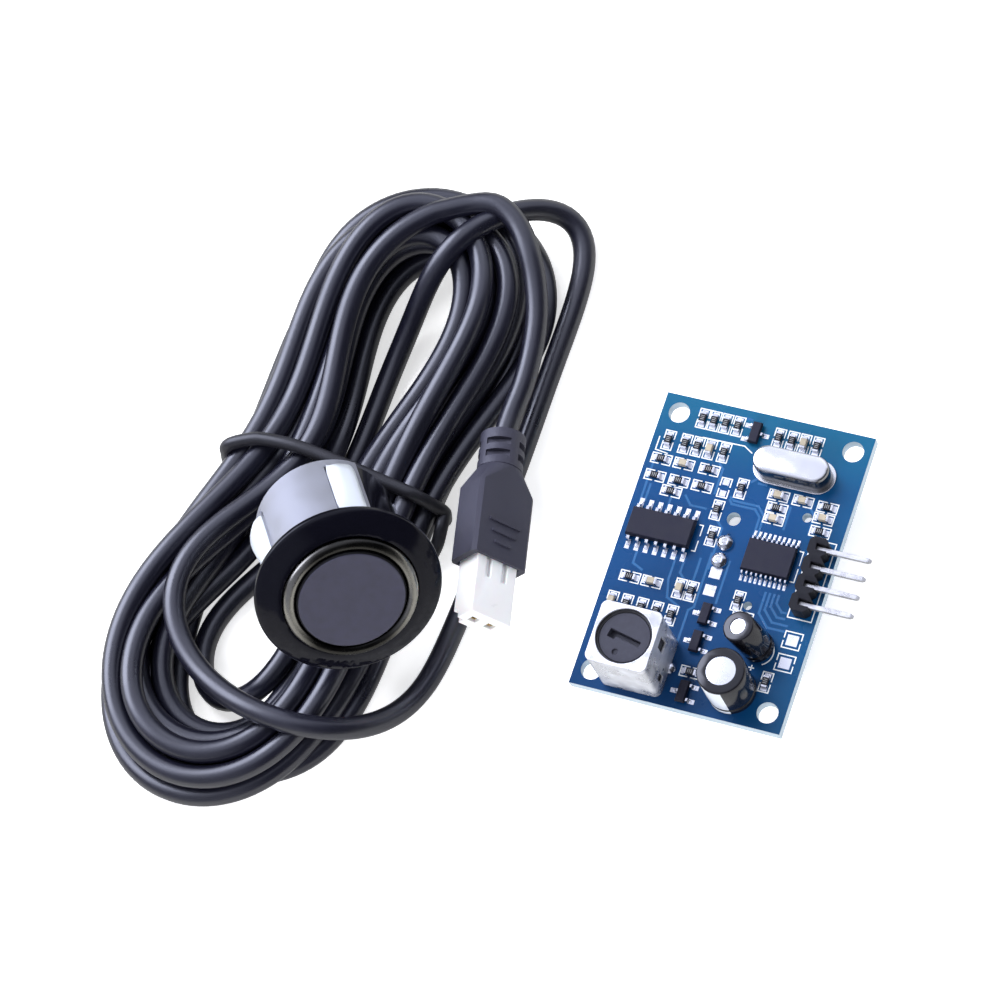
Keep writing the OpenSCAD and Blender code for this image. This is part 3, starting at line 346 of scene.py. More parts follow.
# How far it sinks in each round, first and at last, what share of its way back it is drawn, and how
# many times over strands that touch are pushed apart
sinking, settling, drawn_back = 0.15, 0.05, 0.12
shove = 1.4
wide_turn = int(np.argmin(np.linalg.norm(lead - [-55.4, -3.5, 1.5], axis=1)))
rounds = 360
for turn in range(rounds):
    done = turn / rounds
    if turn % 5 == 0:
        one, two = close_pairs(lead, watched)
    # It sinks, and is drawn back to where it was laid
    lead[:, 2] -= sinking if done < 0.75 else settling
    lead[:, :2] += drawn_back * (home - lead[:, :2])
    for again in range(4):
        # Bending stiffness, at two spans
        for s, strength in ((1, 0.5), (3, 0.3)):
            bent = lead.copy()
            bent[2 * s:-2 * s] -= strength / 16 * (
                lead[:-4 * s] - 4 * lead[s:-3 * s] + 6 * lead[2 * s:-2 * s] - 4 * lead[3 * s:-s]
                + lead[4 * s:]
            )
            lead = bent
        # The lead keeps its length
        for odd in (0, 1):
            i = np.arange(odd, count - 1, 2)
            span = lead[i + 1] - lead[i]
            size = np.linalg.norm(span, axis=1, keepdims=True)
            pull = 0.5 * (size - rest[i]) / np.maximum(size, 1e-6) * span
            lead[i] += pull
            lead[i + 1] -= pull
        # Strands push one another away
        lead += parting(lead, one, two, touching) * shove
        # The turns keep together under the probe
        loose = (lead[:, 0] > under_probe_right) & (lead[:, 1] > -31) & (lead[:, 1] < -4)
        loose[wide_turn:] = False
        lead[loose, 0] += 0.3 * (under_probe_right - lead[loose, 0])
        # The table, and the probe and the tie, which come down on the hank
        lead[:, 2] = np.maximum(lead[:, 2], lead_r)
        lift = raised * max(0, 1 - done / 0.6)
        for bar in ((barrel_reach, -barrel_long, 0), (bezel_reach, -bezel_half, bezel_half)):
            hit, height = underside(lead, *bar)
            hit[:by_probe] = False
            roof = np.maximum(height, lead_r) + lift
            hit &= lead[:, 2] > roof
            lead[hit, 2] += 0.5 * (roof[hit] - lead[hit, 2])
        roof = tie_height + lift
        hit = (np.abs(lead[:, 1] - tie_middle) < tie_half) & (lead[:, 0] < hank_right) & (lead[:, 2] > roof)
        hit[:by_probe] = False
        lead[hit, 2] += 0.5 * (roof - lead[hit, 2])
        if done > 0.6:
            r = lead - probe_rim
            along = r @ probe_axis
            out = r - along[:, None] * probe_axis
            size = np.linalg.norm(out, axis=1)
            radius = np.where(along > -bezel_half, bezel_reach, barrel_reach)
            hit = (along < bezel_half) & (along > 0.4 - barrel_long) & (size < radius)
            hit[:leaving] = False
            lead[hit] += 0.3 * ((radius - size)[hit] / size[hit])[:, None] * out[hit]
        # The plug, which lies on the wide turn
        r = lead - plug_start
        along, up, across = r @ plug_axis, r @ plug_flat, r @ plug_side
        by_sleeve = along < sleeve_long
        up_in = np.where(by_sleeve, sleeve_reach, plug_thick_reach) - np.abs(up)
        across_in = np.where(by_sleeve, sleeve_reach, plug_wide_reach) - np.abs(across)
        hit = (along > 0) & (along < plug_long) & (up_in > 0) & (across_in > 0)
        hit[-held:] = False
        for way, how_far, which, amount in (
            (plug_flat, up, hit & (up_in <= across_in), up_in),
            (plug_side, across, hit & (up_in > across_in), across_in),
        ):
            lead[which] += 0.4 * (np.sign(how_far) * amount)[which][:, None] * way
        lead[:4], lead[-held:] = start, end + (0, 0, lift)
lead[:, 2] = np.maximum(lead[:, 2], lead_r)

# Each strand is smoothed along itself, and still kept off its neighbours and the table
reach = 6
offsets = np.arange(-reach, reach + 1)
weights = 3 * reach * (reach + 1) - 1 - 5 * offsets**2
weights = 3 * weights / ((2 * reach - 1) * (2 * reach + 1) * (2 * reach + 3))
for turn in range(14):
    if turn < 12:
        push = parting(lead, *close_pairs(lead, 2 * lead_r), 2 * lead_r)
        for again in range(3):
            push[1:-1] = 0.25 * push[:-2] + 0.5 * push[1:-1] + 0.25 * push[2:]
        push[:9] = 0
        lead += push
    lead[reach:-reach] = sum(
        weight * lead[reach + shift:count - reach + shift] for weight, shift in zip(weights, offsets)
    )
    lead[:, 2] = np.maximum(lead[:, 2], lead_r)
    lead[:4], lead[-held:] = start, end


def tube_curve(name, points, radius, material, sides=4):
    """A round curve along points in millimetres."""
    data = bpy.data.curves.new(name, "CURVE")
    data.dimensions = "3D"
    data.bevel_depth = radius / 1000
    data.bevel_resolution = sides
    data.use_fill_caps = True
    data.twist_mode = "MINIMUM"
    line = data.splines.new("POLY")
    line.points.add(len(points) - 1)
    flat = np.c_[np.array(points) / 1000, np.ones(len(points))]
    line.points.foreach_set("co", flat.astype(np.float32).ravel())
    line.use_smooth = True
    data.materials.append(material)
    made = bpy.data.objects.new(name, data)
    scene.collection.objects.link(made)
    return made


lead_black = surface(
    "lead_pvc", (0.0062, 0.0064, 0.014), 0.33, grain=(2500, 0.12), cloud=(160, 0.25), wear=0.07
)
shine(lead_black, 1.05)
lead_line = smooth_route(lead, 1.0)
sensor_lead = tube_curve("sensor_lead", lead_line, lead_r, lead_black)
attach(sensor_lead, "root")
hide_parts("lead_hank", "lead_from_probe", "lead_to_plug")

# Tie
# A thin black plastic-covered wire, wound once round the waist of the hank, with its ends twisted
# together at the right. It follows the strands that it holds.


def waist(x):
    """How far along the table the tie lies, from left to right."""
    across = [-72, -70, -67, -63.5, -59, -54, -47, -42]
    return np.interp(x, across, [-2.0, -1.0, 0.2, 0.8, 0.6, -0.2, -1.0, -1.5])


tie_r = 0.9
tie_gap = 0.05
# Where each strand passes under the tie, across and up
crossing = []
for a, b in zip(lead_line[:-1], lead_line[1:]):
    side_a, side_b = a[1] - waist(a[0]), b[1] - waist(b[0])
    if side_a * side_b < 0 and a[0] < hank_right:
        t = side_a / (side_a - side_b)
        crossing.append((a + t * (b - a))[[0, 2]])
circle = [(math.cos(k * math.pi / 8), math.sin(k * math.pi / 8)) for k in range(16)]
round_each = np.array([c + (lead_r + tie_r + tie_gap) * np.array(way) for c in crossing for way in circle])
round_each = round_each[np.lexsort((round_each[:, 1], round_each[:, 0]))]


def half_hull(points):
    """One side of the convex outline of points in a plane."""
    line = []
    for p in points:
        while len(line) > 1 and np.linalg.det(np.array([line[-1] - line[-2], p - line[-1]])) <= 0:
            line.pop()
        line.append(p)
    return line


outline = half_hull(round_each)[:-1] + half_hull(round_each[::-1])[:-1]
outline = np.array([(x, max(z, tie_r + tie_gap)) for x, z in outline])
shift = int(np.argmax(outline[:, 0]))
outline = np.vstack([np.roll(outline, -shift, axis=0), outline[shift]])
tie_knots = [(x, waist(x), z) for x, z in outline]
tie_black = surface("tie_pvc", (0.014, 0.014, 0.018), 0.4, grain=(3000, 0.15), cloud=(500, 0.25), wear=0.08)
tie_end = np.array(tie_knots[0])
tie_tail = [(0.3, -2.0, 0.2), (-0.1, -4.2, -1.4), (-1.4, -5.6, -3.2), (-3.2, -5.8, -5)]
tie_tail = [tie_end + np.array(way) for way in tie_tail]
# The twisted ends stay above the table
tail_low = 1.1
for place in tie_tail:
    place[2] = max(place[2], tail_low)
hank_tie = tube_curve("lead_tie", smooth_route(tie_knots + tie_tail, 0.5), tie_r, tie_black)
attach(hank_tie, "root")
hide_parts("hank_tie")

# Plug
# The overmould is soft black PVC with a fine eroded grain; its sleeve is cut by slots so that it bends.
# The white nose is nylon with two brass contacts inside. It lies on the wide turn of the lead.
sharp = math.radians(35)
same_plane = math.radians(0.6)
same_point = 2e-6


def fitted(name, material, edge=0.0, segments=2, body="root"):
    """A CAD node's own shape with its triangles joined, its edges eased and its faces smooth."""
    mesh = nodes[name].data.copy()
    form = bmesh.new()
    form.from_mesh(mesh)
    bmesh.ops.remove_doubles(form, verts=form.verts, dist=same_point)
    bmesh.ops.dissolve_limit(form, angle_limit=same_plane, verts=form.verts, edges=form.edges)
    form.to_mesh(mesh)
    form.free()
    mesh.materials.clear()
    mesh.materials.append(material)
    mesh.shade_smooth()
    mesh.set_sharp_from_angle(angle=sharp)
    made = bpy.data.objects.new(name + "_look", mesh)
    scene.collection.objects.link(made)
    if edge:
        ease = made.modifiers.new("eased_edges", "BEVEL")
        ease.width = edge / 1000
        ease.segments = segments
        ease.limit_method = "ANGLE"
        ease.angle_limit = sharp
        ease.harden_normals = True
    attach(made, body)
    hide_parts(name)
    return made


plug_black = surface("plug_pvc", (0.036, 0.0355, 0.054), 0.5, grain=(9000, 0.35), cloud=(260, 0.2))
plug_white = surface("plug_nylon", (0.82, 0.82, 0.83), 0.35, grain=(4000, 0.05), cloud=(300, 0.04))
nylon_shader = plug_white.node_tree.nodes["Principled BSDF"]
nylon_shader.inputs["Subsurface Weight"].default_value = 0.15
nylon_shader.inputs["Subsurface Scale"].default_value = 0.001
brass = surface("contact_brass", (0.75, 0.58, 0.3), 0.25, metal=1, grain=(6000, 0.05), cloud=(800, 0.1))
plug_parts = [
    fitted("plug_overmould", plug_black, 0.22, 3),
    fitted("plug_housing", plug_white, 0.12),
    *[fitted(f"plug_contact_{k}", brass, 0.03, 1) for k in (1, 2)],
]

# Probe
# The housing is one glossy black moulding, bezel and barrel. The aluminium cup that sounds sits in a
# rubber ring and shows a painted grey face; behind it are the piezo disc, a felt pad and the potting.
probe_black = surface(
    "probe_gloss", (0.003, 0.003, 0.006), 0.14, grain=(700, 0.04), cloud=(120, 0.2), wear=0.03
)
shine(probe_black, 0.2)
ring_black = surface(
    "ring_rubber", (0.13, 0.125, 0.11), 0.27, metal=1, grain=(7000, 0.15), cloud=(500, 0.25)
)
face_paint = surface("face_grey", (0.041, 0.04, 0.065), 0.6, grain=(12000, 0.3), cloud=(900, 0.3))
clip_steel = surface(
    "clip_steel", (0.37, 0.38, 0.43), 0.5, metal=0.75, grain=(3000, 0.12), cloud=(300, 0.06)
)


def painted(material, share, colour):
    """Mixes a colour into a material's own, by a share from 0 to 1."""
    tree = material.node_tree
    base = tree.nodes["Principled BSDF"].inputs["Base Color"]
    sources = {"Factor": share, "A": base.links[0].from_socket, "B": (*colour, 1)}
    tree.links.new(wired(tree, "Mix", sources, data_type="RGBA").outputs["Result"], base)


def shaded(material, factor):
    """Multiplies a material's own colour by a factor."""
    tree = material.node_tree
    base = tree.nodes["Principled BSDF"].inputs["Base Color"]
    sources = {0: base.links[0].from_socket, "Scale": factor}
    tree.links.new(wired(tree, "VectorMath", sources, operation="SCALE").outputs["Vector"], base)


def from_rim(tree):
    """How far a point lies from the middle of the probe's rim, in metres."""
    place = tree.nodes["Texture Coordinate"].outputs["Object"]
    return wired(tree, "VectorMath", {0: place, 1: probe_rim / 1000}, operation="SUBTRACT").outputs["Vector"]


def round_tint(material, start, full, colour):
    """Mixes in a colour by the distance from the probe's axis, in metres."""
    tree = material.node_tree
    across = wired(tree, "VectorMath", {0: from_rim(tree), 1: probe_axis}, operation="CROSS_PRODUCT")
    size = wired(tree, "VectorMath", {0: across.outputs["Vector"]}, operation="LENGTH")
    painted(material, ramp(tree, size.outputs["Value"], start, full), colour)


# The leaves, which stand further out than the band, are polished and look nearly white. Painted shade makes
# the ring's inner slope black, and the gap round the face black too
round_tint(clip_steel, 0.00932, 0.00938, (0.9, 0.95, 1))
round_tint(ring_black, 0.0075, 0.0072, (0.002, 0.002, 0.003))
round_tint(face_paint, 0.00682, 0.00685, (0.001, 0.001, 0.0015))
# Painted highlights make the bead brightest at its two sides, towards the camera's left and right
tree = ring_black.node_tree
highlight_way = np.array([0.815, 0.4614, -0.3507])
bead_r = 0.0083
sideways = wired(tree, "VectorMath", {0: from_rim(tree), 1: highlight_way / bead_r}, operation="DOT_PRODUCT")
to_highlight = worked(tree, "ABSOLUTE", sideways.outputs["Value"])
shaded(ring_black, ramp(tree, to_highlight, 0.5, 1, 0.35, 2.6, "SMOOTHSTEP"))
piezo_grey = surface("piezo", (0.7, 0.6, 0.4), 0.4)
felt = surface("felt", (0.6, 0.5, 0.36), 0.95, grain=(5000, 0.8))
wire_red = surface("wire_red", (0.5, 0.04, 0.03), 0.35)
resin = surface("potting", (0.01, 0.01, 0.012), 0.12, grain=(500, 0.5), cloud=(400, 0.3))
boot_black = surface("boot_rubber", (0.013, 0.013, 0.018), 0.45, grain=(6000, 0.2))
fitted("probe_housing", probe_black, 0.12, 3)
fitted("isolation_ring", ring_black, 0.08)
cup = fitted("transducer_cup", face_paint, 0.06)
# The face stands a little out of the gap inside the ring, which is painted black as shade
face_from = 1
face_rise = 0.0008
for v in cup.data.vertices:
    if (np.array(v.co) * 1000 - probe_rim) @ probe_axis > face_from:
        v.co += Vector(probe_axis) * face_rise
fitted("piezo_disc", piezo_grey)
fitted("damping_pad", felt, 0.2)
fitted("probe_wires", wire_red)
fitted("potting", resin, 0.15)
clip = fitted("spring_clip", clip_steel, 0.04)
# The leaves are pressed: their edges lie in the band and only their middles stand out, most behind.
# Lengths are in millimetres from the rim's middle, and half_angle is in radians.
away_1 = np.cross(probe_axis, [0, 0, 1])
away_1 = away_1 / np.linalg.norm(away_1)
away_2 = np.cross(probe_axis, away_1)
band_r = 9.6
leaf_start, leaf_length = -15.3, 11.3
leaf_rise = 1.5
leaf_half = 1.69
half_angle = 0.192
leaf_back, leaf_front = -15.2, -3.95


def on_clip(places):
    """Along the probe's axis, away from it, and round it from the nearest leaf's middle."""
    from_axis = places * 1000 - probe_rim
    along = from_axis @ probe_axis
    flat = np.stack([from_axis @ away_1, from_axis @ away_2], 1)
    far_out = np.linalg.norm(flat, axis=1)
    turned = np.arctan2(flat[:, 1], flat[:, 0])
    tops = far_out > band_r
    middle = np.arctan2(np.sin(4 * turned[tops]).sum(), np.cos(4 * turned[tops]).sum()) / 4
    beside = (turned - middle + math.pi / 4) % (math.pi / 2) - math.pi / 4
    return along, far_out, beside, turned - beside


form = bmesh.new()
form.from_mesh(clip.data)
form.verts.ensure_lookup_table()
along, far_out, beside, leaf_at = on_clip(np.array([v.co for v in form.verts]))
# The edges that cross a leaf from side to side, in metres
shortest, longest = 0.0031, 0.0036
across = []
for e in form.edges:
    i, j = e.verts[0].index, e.verts[1].index
    level = abs(along[i] - along[j]) < 0.05
    if level and shortest < e.calc_length() < longest and beside[i] * beside[j] < 0:
        across.append(e)
bmesh.ops.subdivide_edges(form, edges=across, cuts=7, use_grid_fill=True)
along, far_out, beside, leaf_at = on_clip(np.array([v.co for v in form.verts]))
form.verts.ensure_lookup_table()
leaf = (abs(beside) < half_angle) & (along > leaf_back) & (along < leaf_front)
for i in np.where(leaf)[0]:
    share = (along[i] - leaf_start) / leaf_length
    sideways, outwards = far_out[i] * math.sin(beside[i]), far_out[i] * math.cos(beside[i])
    arch = leaf_rise * math.sin(math.pi * max(share, 0) ** 0.65) * (1 - (sideways / leaf_half) ** 4)
    outwards += arch - leaf_rise * math.sin(math.pi * share)
    sideways *= 1 + 0.12 * min(1, 8 * share * (1 - share))
    out_way = math.cos(leaf_at[i]) * away_1 + math.sin(leaf_at[i]) * away_2
    side_way = math.cos(leaf_at[i]) * away_2 - math.sin(leaf_at[i]) * away_1
    place = probe_rim + along[i] * probe_axis + outwards * out_way + sideways * side_way
    form.verts[i].co = Vector(place / 1000)
form.to_mesh(clip.data)
form.free()
clip.data.shade_smooth()
fitted("probe_boot", boot_black, 0.3, 3)

# Board
# Blue solder mask on glass fibre, with its copper showing through as lighter tracks. White marks are
# printed round the parts, and bare pads and solder show silver.
mask = surface("board_blue", (0.003, 0.044, 0.15), 0.25, grain=(2500, 0.12), cloud=(120, 0.14), wear=0.06)
shine(mask, 0.16)
fitted("circuit_board", mask, 0.05, 1)
# Painted shade makes it a little darker near the viewer, and a painted sheen makes it lighter, towards cyan,
# at its far and right edges
tree = mask.node_tree
split = wired(tree, "SeparateXYZ", {"Vector": tree.nodes["Texture Coordinate"].outputs["Object"]})
shaded(mask, ramp(tree, split.outputs["Y"], -0.0205, 0.002, 0.74, 1.12))
far_sheen = ramp(tree, split.outputs["Y"], 0.008, 0.0205, kind="SMOOTHSTEP")
right_sheen = ramp(tree, split.outputs["X"], 0.006, 0.0143, 0, 0.3, "SMOOTHSTEP")
painted(mask, worked(tree, "MAXIMUM", far_sheen, right_sheen), (0.006, 0.095, 0.2))


def upward(tree, normal):
    """How far up a surface faces: 1 on a top, 0 on a wall."""
    facing = wired(tree, "NewGeometry", {}).outputs[normal]
    return wired(tree, "SeparateXYZ", {"Vector": facing}).outputs["Z"]


# The cut sides show pale glass fibre
cut_side = worked(tree, "LESS_THAN", worked(tree, "ABSOLUTE", upward(tree, "True Normal")), 0.5)
painted(mask, cut_side, (0.42, 0.5, 0.56))
board_top = 7.6
board_wide, board_long = 28.5, 41
sunk = 0.005


def on_board(x, y, z=0.0):
    """A place on the board's top, from its left and far edges, in metres."""
    return Vector((x - board_wide / 2, board_long / 2 - y, board_top + z)) / 1000


def laid(name, form, material):
    """Makes a form one mesh that rides with the board."""
    mesh = bpy.data.meshes.new(name)
    form.to_mesh(mesh)
    form.free()
    mesh.materials.append(material)
    made = bpy.data.objects.new(name, mesh)
    scene.collection.objects.link(made)
    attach(made, "root")


def marks(name, lines, width, high, material):
    """Flat strips along lines of board places, as one mesh, each sunk a little into the board."""
    form = bmesh.new()
    for line in lines:
        for i, (a, b) in enumerate(zip(line[:-1], line[1:])):
            # Strips that meet have tops at two heights
            top = high + 0.002 * (i % 2)
            p, q = Vector(a), Vector(b)
            along = (q - p).normalized() if (q - p).length > 1e-6 else Vector((1, 0))
            off = Vector((-along.y, along.x)) * width / 2
            reach = along * width / 2
            corners = [p - reach - off, q + reach - off, q + reach + off, p - reach + off]
            rings = [[form.verts.new(on_board(c.x, c.y, z)) for c in corners] for z in (-sunk, top)]
            form.faces.new(rings[0])
            form.faces.new(rings[1][::-1])
            for k in range(4):
                form.faces.new([rings[0][(k + 1) % 4], rings[0][k], rings[1][k], rings[1][(k + 1) % 4]])
    bmesh.ops.recalc_face_normals(form, faces=form.faces)
    laid(name, form, material)


def bracket(x, y, half_x, half_y, open_x):
    """Two square brackets that face each other, with a gap in the middle of the open sides."""
    lines = []
    for s in (-1, 1):
        gap, side, end = s * 0.25, s * half_x, s * half_y
        if open_x:
            turned = [(gap, -half_y), (side, -half_y), (side, half_y), (gap, half_y)]
        else:
            turned = [(-half_x, gap), (-half_x, end), (half_x, end), (half_x, gap)]
        lines.append([(x + across, y + along) for across, along in turned])
    return lines


def islands(name):
    """The boxes of a node's separate solids, on the board: left, right, far, near."""
    form = bmesh.new()
    form.from_mesh(nodes[name].data)
    bmesh.ops.remove_doubles(form, verts=form.verts, dist=same_point)
    seen, found = set(), []
    for first in form.verts:
        if first.index in seen:
            continue
        group, edge = [], [first]
        seen.add(first.index)
        while edge:
            v = edge.pop()
            group.append(v.co.copy())
            for e in v.link_edges:
                w = e.other_vert(v)
                if w.index not in seen:
                    seen.add(w.index)
                    edge.append(w)
        xs = [1000 * c.x + board_wide / 2 for c in group]
        ys = [board_long / 2 - 1000 * c.y for c in group]
        found.append((min(xs), max(xs), min(ys), max(ys)))
    form.free()
    return found


print_white = surface("silk_white", (0.8, 0.83, 0.86), 0.5, grain=(6000, 0.2), cloud=(900, 0.08))
print_grey = surface("value_print", (0.3, 0.31, 0.33), 0.5, grain=(6000, 0.2), cloud=(900, 0.2))
track_blue = surface("track_blue", (0.007, 0.09, 0.255), 0.25, grain=(2500, 0.1), cloud=(120, 0.1))
tin = surface("solder", (0.74, 0.75, 0.78), 0.2, metal=1, grain=(900, 0.25), cloud=(900, 0.12))
pad_tin = surface("pad_tin", (0.82, 0.83, 0.86), 0.3, metal=1, grain=(1500, 0.3), cloud=(700, 0.12))
silk = []
# Where each small chip part lies, and whether it lies across the board; its marks reach so far out
lying = []
mark_long, mark_wide = 1.32, 0.68
resistors = islands("chip_resistors")
for left, right, far, near in resistors + islands("chip_capacitors"):
    x, y = (left + right) / 2, (far + near) / 2
    level = right - left > near - far
    lying.append((x, y, level))
    half_x, half_y = (mark_long, mark_wide) if level else (mark_wide, mark_long)
    silk += bracket(x, y, half_x, half_y, level)
# One footprint has no part on it, and two square pads stand at the right
empty_x, empty_y = 11.4, 11.0
square_x, square_ys = 26.3, (28.7, 31.8)
silk += bracket(empty_x, empty_y, mark_wide, mark_long, False)
for y in square_ys:
    silk += bracket(square_x, y, 1.15, 1.1, False)
silk += [
    [(6.5, 5), (12.2, 4.9), (13.4, 5.6)], [(0.9, 6.2), (0.9, 8.0), (2.6, 8.2)],
    [(9.9, 16.6), (10.35, 16.6), (10.35, 18.0)], [(10.35, 18.8), (10.35, 20.2), (9.9, 20.2)],
    [(23.6, 17.0), (24.1, 17.0), (24.1, 18.8)], [(24.1, 19.4), (24.1, 21.2), (23.6, 21.2)],
    [(24.7, 15.0), (27.9, 15.0), (27.9, 25.8), (24.7, 25.8), (24.7, 15.0)],
    [(22.0, 33.4), (22.6, 33.4)], [(22.3, 33.1), (22.3, 33.7)],
]
silk.append([(22.6 + 1.9 * math.sin(a / 8), 31.0 - 1.9 * math.cos(a / 8)) for a in range(3, 22)])
marks("board_print", silk, 0.15, 0.02, print_white)
tracks = [
    [(1.2, 8), (1.2, 16), (2.2, 17.2)], [(1.8, 12.8), (1.8, 15)], [(6.8, 13.2), (7.8, 14.3), (9.9, 14.3)],
    [(12.6, 12.4), (13.0, 12.9), (16.2, 12.9), (17.1, 13.8), (17.1, 16.5)],
    [(12.6, 12.0), (13.2, 12.4), (16.5, 12.4), (17.6, 13.5), (17.6, 16.5)],
    [(16.6, 8.8), (15.2, 8.8), (14.6, 9.4)], [(16.6, 9.4), (15.6, 9.4)],
    [(21.0, 23.4), (21.0, 26.2), (22.6, 27.8), (25, 27.8)],
    [(21.6, 23.4), (21.6, 25.6), (23, 27.0), (25, 27.0)],
    [(22.2, 23.4), (22.2, 25.0), (23.4, 26.2), (24.4, 26.2)],
    [(22.8, 23.4), (22.8, 24.4), (23.8, 25.4), (24.4, 25.4)],
    [(9.4, 21.6), (9.4, 23.4), (10.4, 24.4)], [(8.2, 21.6), (8.2, 24.6), (8.8, 27.0), (10.6, 27.8)],
    [(3.0, 22.0), (3.0, 23.6), (4.4, 24.2)], [(12.6, 20.0), (12.6, 27.4), (12.0, 28.0), (12.0, 33.5)],
    [(12.0, 15.6), (12.8, 16.4), (12.8, 22)], [(15.2, 20.5), (15.2, 26.2)],
    [(9.8, 8.0), (10.4, 8.6), (10.4, 12.0)], [(5.0, 13.8), (5.0, 15.6)],
    [(4.9, 1.6), (5.6, 1.2), (12, 1.2)], [(19.0, 4.4), (19.0, 5.0)],
    [(23.0, 11.0), (23.9, 11.9), (23.9, 14.4)], [(20.6, 11.6), (20.6, 14.6)], [(11.4, 21), (11.4, 24.0)],
]
marks("board_tracks", tracks, 0.3, 0.012, track_blue)


def node(tree, kind, **links):
    """A new geometry node with sockets linked to the inputs that are named."""
    made = tree.nodes.new(kind)
    for name, source in links.items():
        tree.links.new(source, made.inputs[name])
    return made


# The tree that sets one flat box on every point of a mesh
stamp = bpy.data.node_groups.new("stamp", "GeometryNodeTree")
stamp.interface.new_socket("Geometry", in_out="OUTPUT", socket_type="NodeSocketGeometry")
stamp.interface.new_socket("Points", in_out="INPUT", socket_type="NodeSocketGeometry")
stamp_size = stamp.interface.new_socket("Size", in_out="INPUT", socket_type="NodeSocketVector").identifier
stamp_coat = stamp.interface.new_socket("Coat", in_out="INPUT", socket_type="NodeSocketMaterial").identifier
given = stamp.nodes.new("NodeGroupInput").outputs
box = node(stamp, "GeometryNodeMeshCube", Size=given["Size"]).outputs["Mesh"]
boxes = node(stamp, "GeometryNodeInstanceOnPoints", Points=given["Points"], Instance=box)
real = node(stamp, "GeometryNodeRealizeInstances", Geometry=boxes.outputs["Instances"])
coated = node(stamp, "GeometryNodeSetMaterial", Geometry=real.outputs["Geometry"], Material=given["Coat"])
node(stamp, "NodeGroupOutput", Geometry=coated.outputs["Geometry"])


def stamped(name, kinds, low, high, material):
    """Flat boxes on the board as one mesh, for each kind their two sizes and the places they lie at."""
    form = bmesh.new()
    for wide, long, places in kinds:
        middles = [on_board(x, y, (low + high) / 2) for x, y in places]
        mesh = bpy.data.meshes.new(name)
        mesh.from_pydata(middles, [], [])
        maker = bpy.data.objects.new(name, mesh)
        scene.collection.objects.link(maker)
        stamping = maker.modifiers.new("stamped", "NODES")
        stamping.node_group = stamp
        stamping[stamp_size] = (wide / 1000, long / 1000, (high - low) / 1000)
        stamping[stamp_coat] = material
        depsgraph = bpy.context.evaluated_depsgraph_get()
        boxes = bpy.data.meshes.new_from_object(maker.evaluated_get(depsgraph))
        form.from_mesh(boxes)
        bpy.data.objects.remove(maker)
        bpy.data.meshes.remove(mesh)
        bpy.data.meshes.remove(boxes)
    laid(name, form, material)


# Pads under every chip part and on the empty footprint, at the leads of both chips and of the four
# transistors, and the square pads in the middle and at the right
pad_off = 0.78
part_pads = []
for x, y, level in lying + [(empty_x, empty_y, False)]:
    for s in (-pad_off, pad_off):
        part_pads.append((x + s, y) if level else (x, y + s))
stamped("part_pads", [(0.84, 0.8, part_pads)], -sunk, 0.035, pad_tin)
transistor_pads = []
for x, y, way in ((13.15, 3, 1), (14.45, 28.1, -1), (14.45, 31.9, -1), (14.9, 38.7, -1)):
    transistor_pads += [(x + 1.3 * s, y + off) for s, off in ((way, 0), (-way, -0.95), (-way, 0.95))]


def two_rows(x, y, count, pitch, off):
    """Places of a chip's leads, in a row on either side of its middle."""
    return [(x + pitch * (k - (count - 1) / 2), y + side * off) for side in (-1, 1) for k in range(count)]


lead_kinds = [(0.6, 1.3, two_rows(5.3, 18.4, 7, 1.27, 2.9)), (0.9, 0.6, transistor_pads)]
stamped("lead_pads", lead_kinds, -sunk, 0.05, pad_tin)
stamped("fine_pads", [(0.34, 0.89, two_rows(20.2, 19.1, 10, 0.65, 3.025))], -sunk, 0.045, pad_tin)
bare_pads = [(square_x, y) for y in square_ys] + [(13.9, 22.4), (13.9, 24.8)]
stamped("bare_pads", [(1.49, 1.45, bare_pads)], -sunk, 0.04, pad_tin)
fitted("solder_joints", tin)

# Socket, header and their pins
# The socket stands under the board, open to the left, in cream nylon. The header is black, with four
# square tinned pins bent flat out over the board's right edge.
cream = surface("socket_nylon", (0.72, 0.7, 0.64), 0.4, grain=(5000, 0.1), cloud=(300, 0.05))
header_black = surface("header_black", (0.003, 0.003, 0.005), 0.5, grain=(5000, 0.2))
pin_tin = surface("tinned_pin", (0.6, 0.6, 0.61), 0.3, metal=0.8, grain=(2500, 0.3), cloud=(900, 0.3))
fitted("socket_shroud", cream, 0.08)
strip = fitted("header_strip", header_black, 0.08)
# A groove over each pin, open above, in which the pin runs out to the right
groove = bmesh.new()
groove_size = Matrix.Diagonal((0.00175, 0.00084, 0.0018, 1))
pin_pitch = 2.54
for k in range(4):
    groove_place = Matrix.Translation(on_board(26.95, 20.4 + pin_pitch * (k - 1.5), 2.2))
    bmesh.ops.create_cube(groove, size=1, matrix=groove_place @ groove_size)
groove_mesh = bpy.data.meshes.new("grooves")
groove.to_mesh(groove_mesh)
groove.free()
cutter = bpy.data.objects.new("grooves", groove_mesh)
scene.collection.objects.link(cutter)
slots = strip.modifiers.new("grooves", "BOOLEAN")
slots.operation = "DIFFERENCE"
slots.solver = "EXACT"
slots.object = cutter
# The grooves are cut before the edges are eased
strip.modifiers.move(1, 0)
bpy.context.view_layer.update()
cut_mesh = bpy.data.meshes.new_from_object(strip.evaluated_get(bpy.context.evaluated_depsgraph_get()))
strip.modifiers.clear()
strip.data = cut_mesh
bpy.data.objects.remove(cutter)
for name in ("socket_pin_1", "socket_pin_2", *[f"header_pin_{k}" for k in range(1, 5)]):
    fitted(name, pin_tin, 0.05, 1)

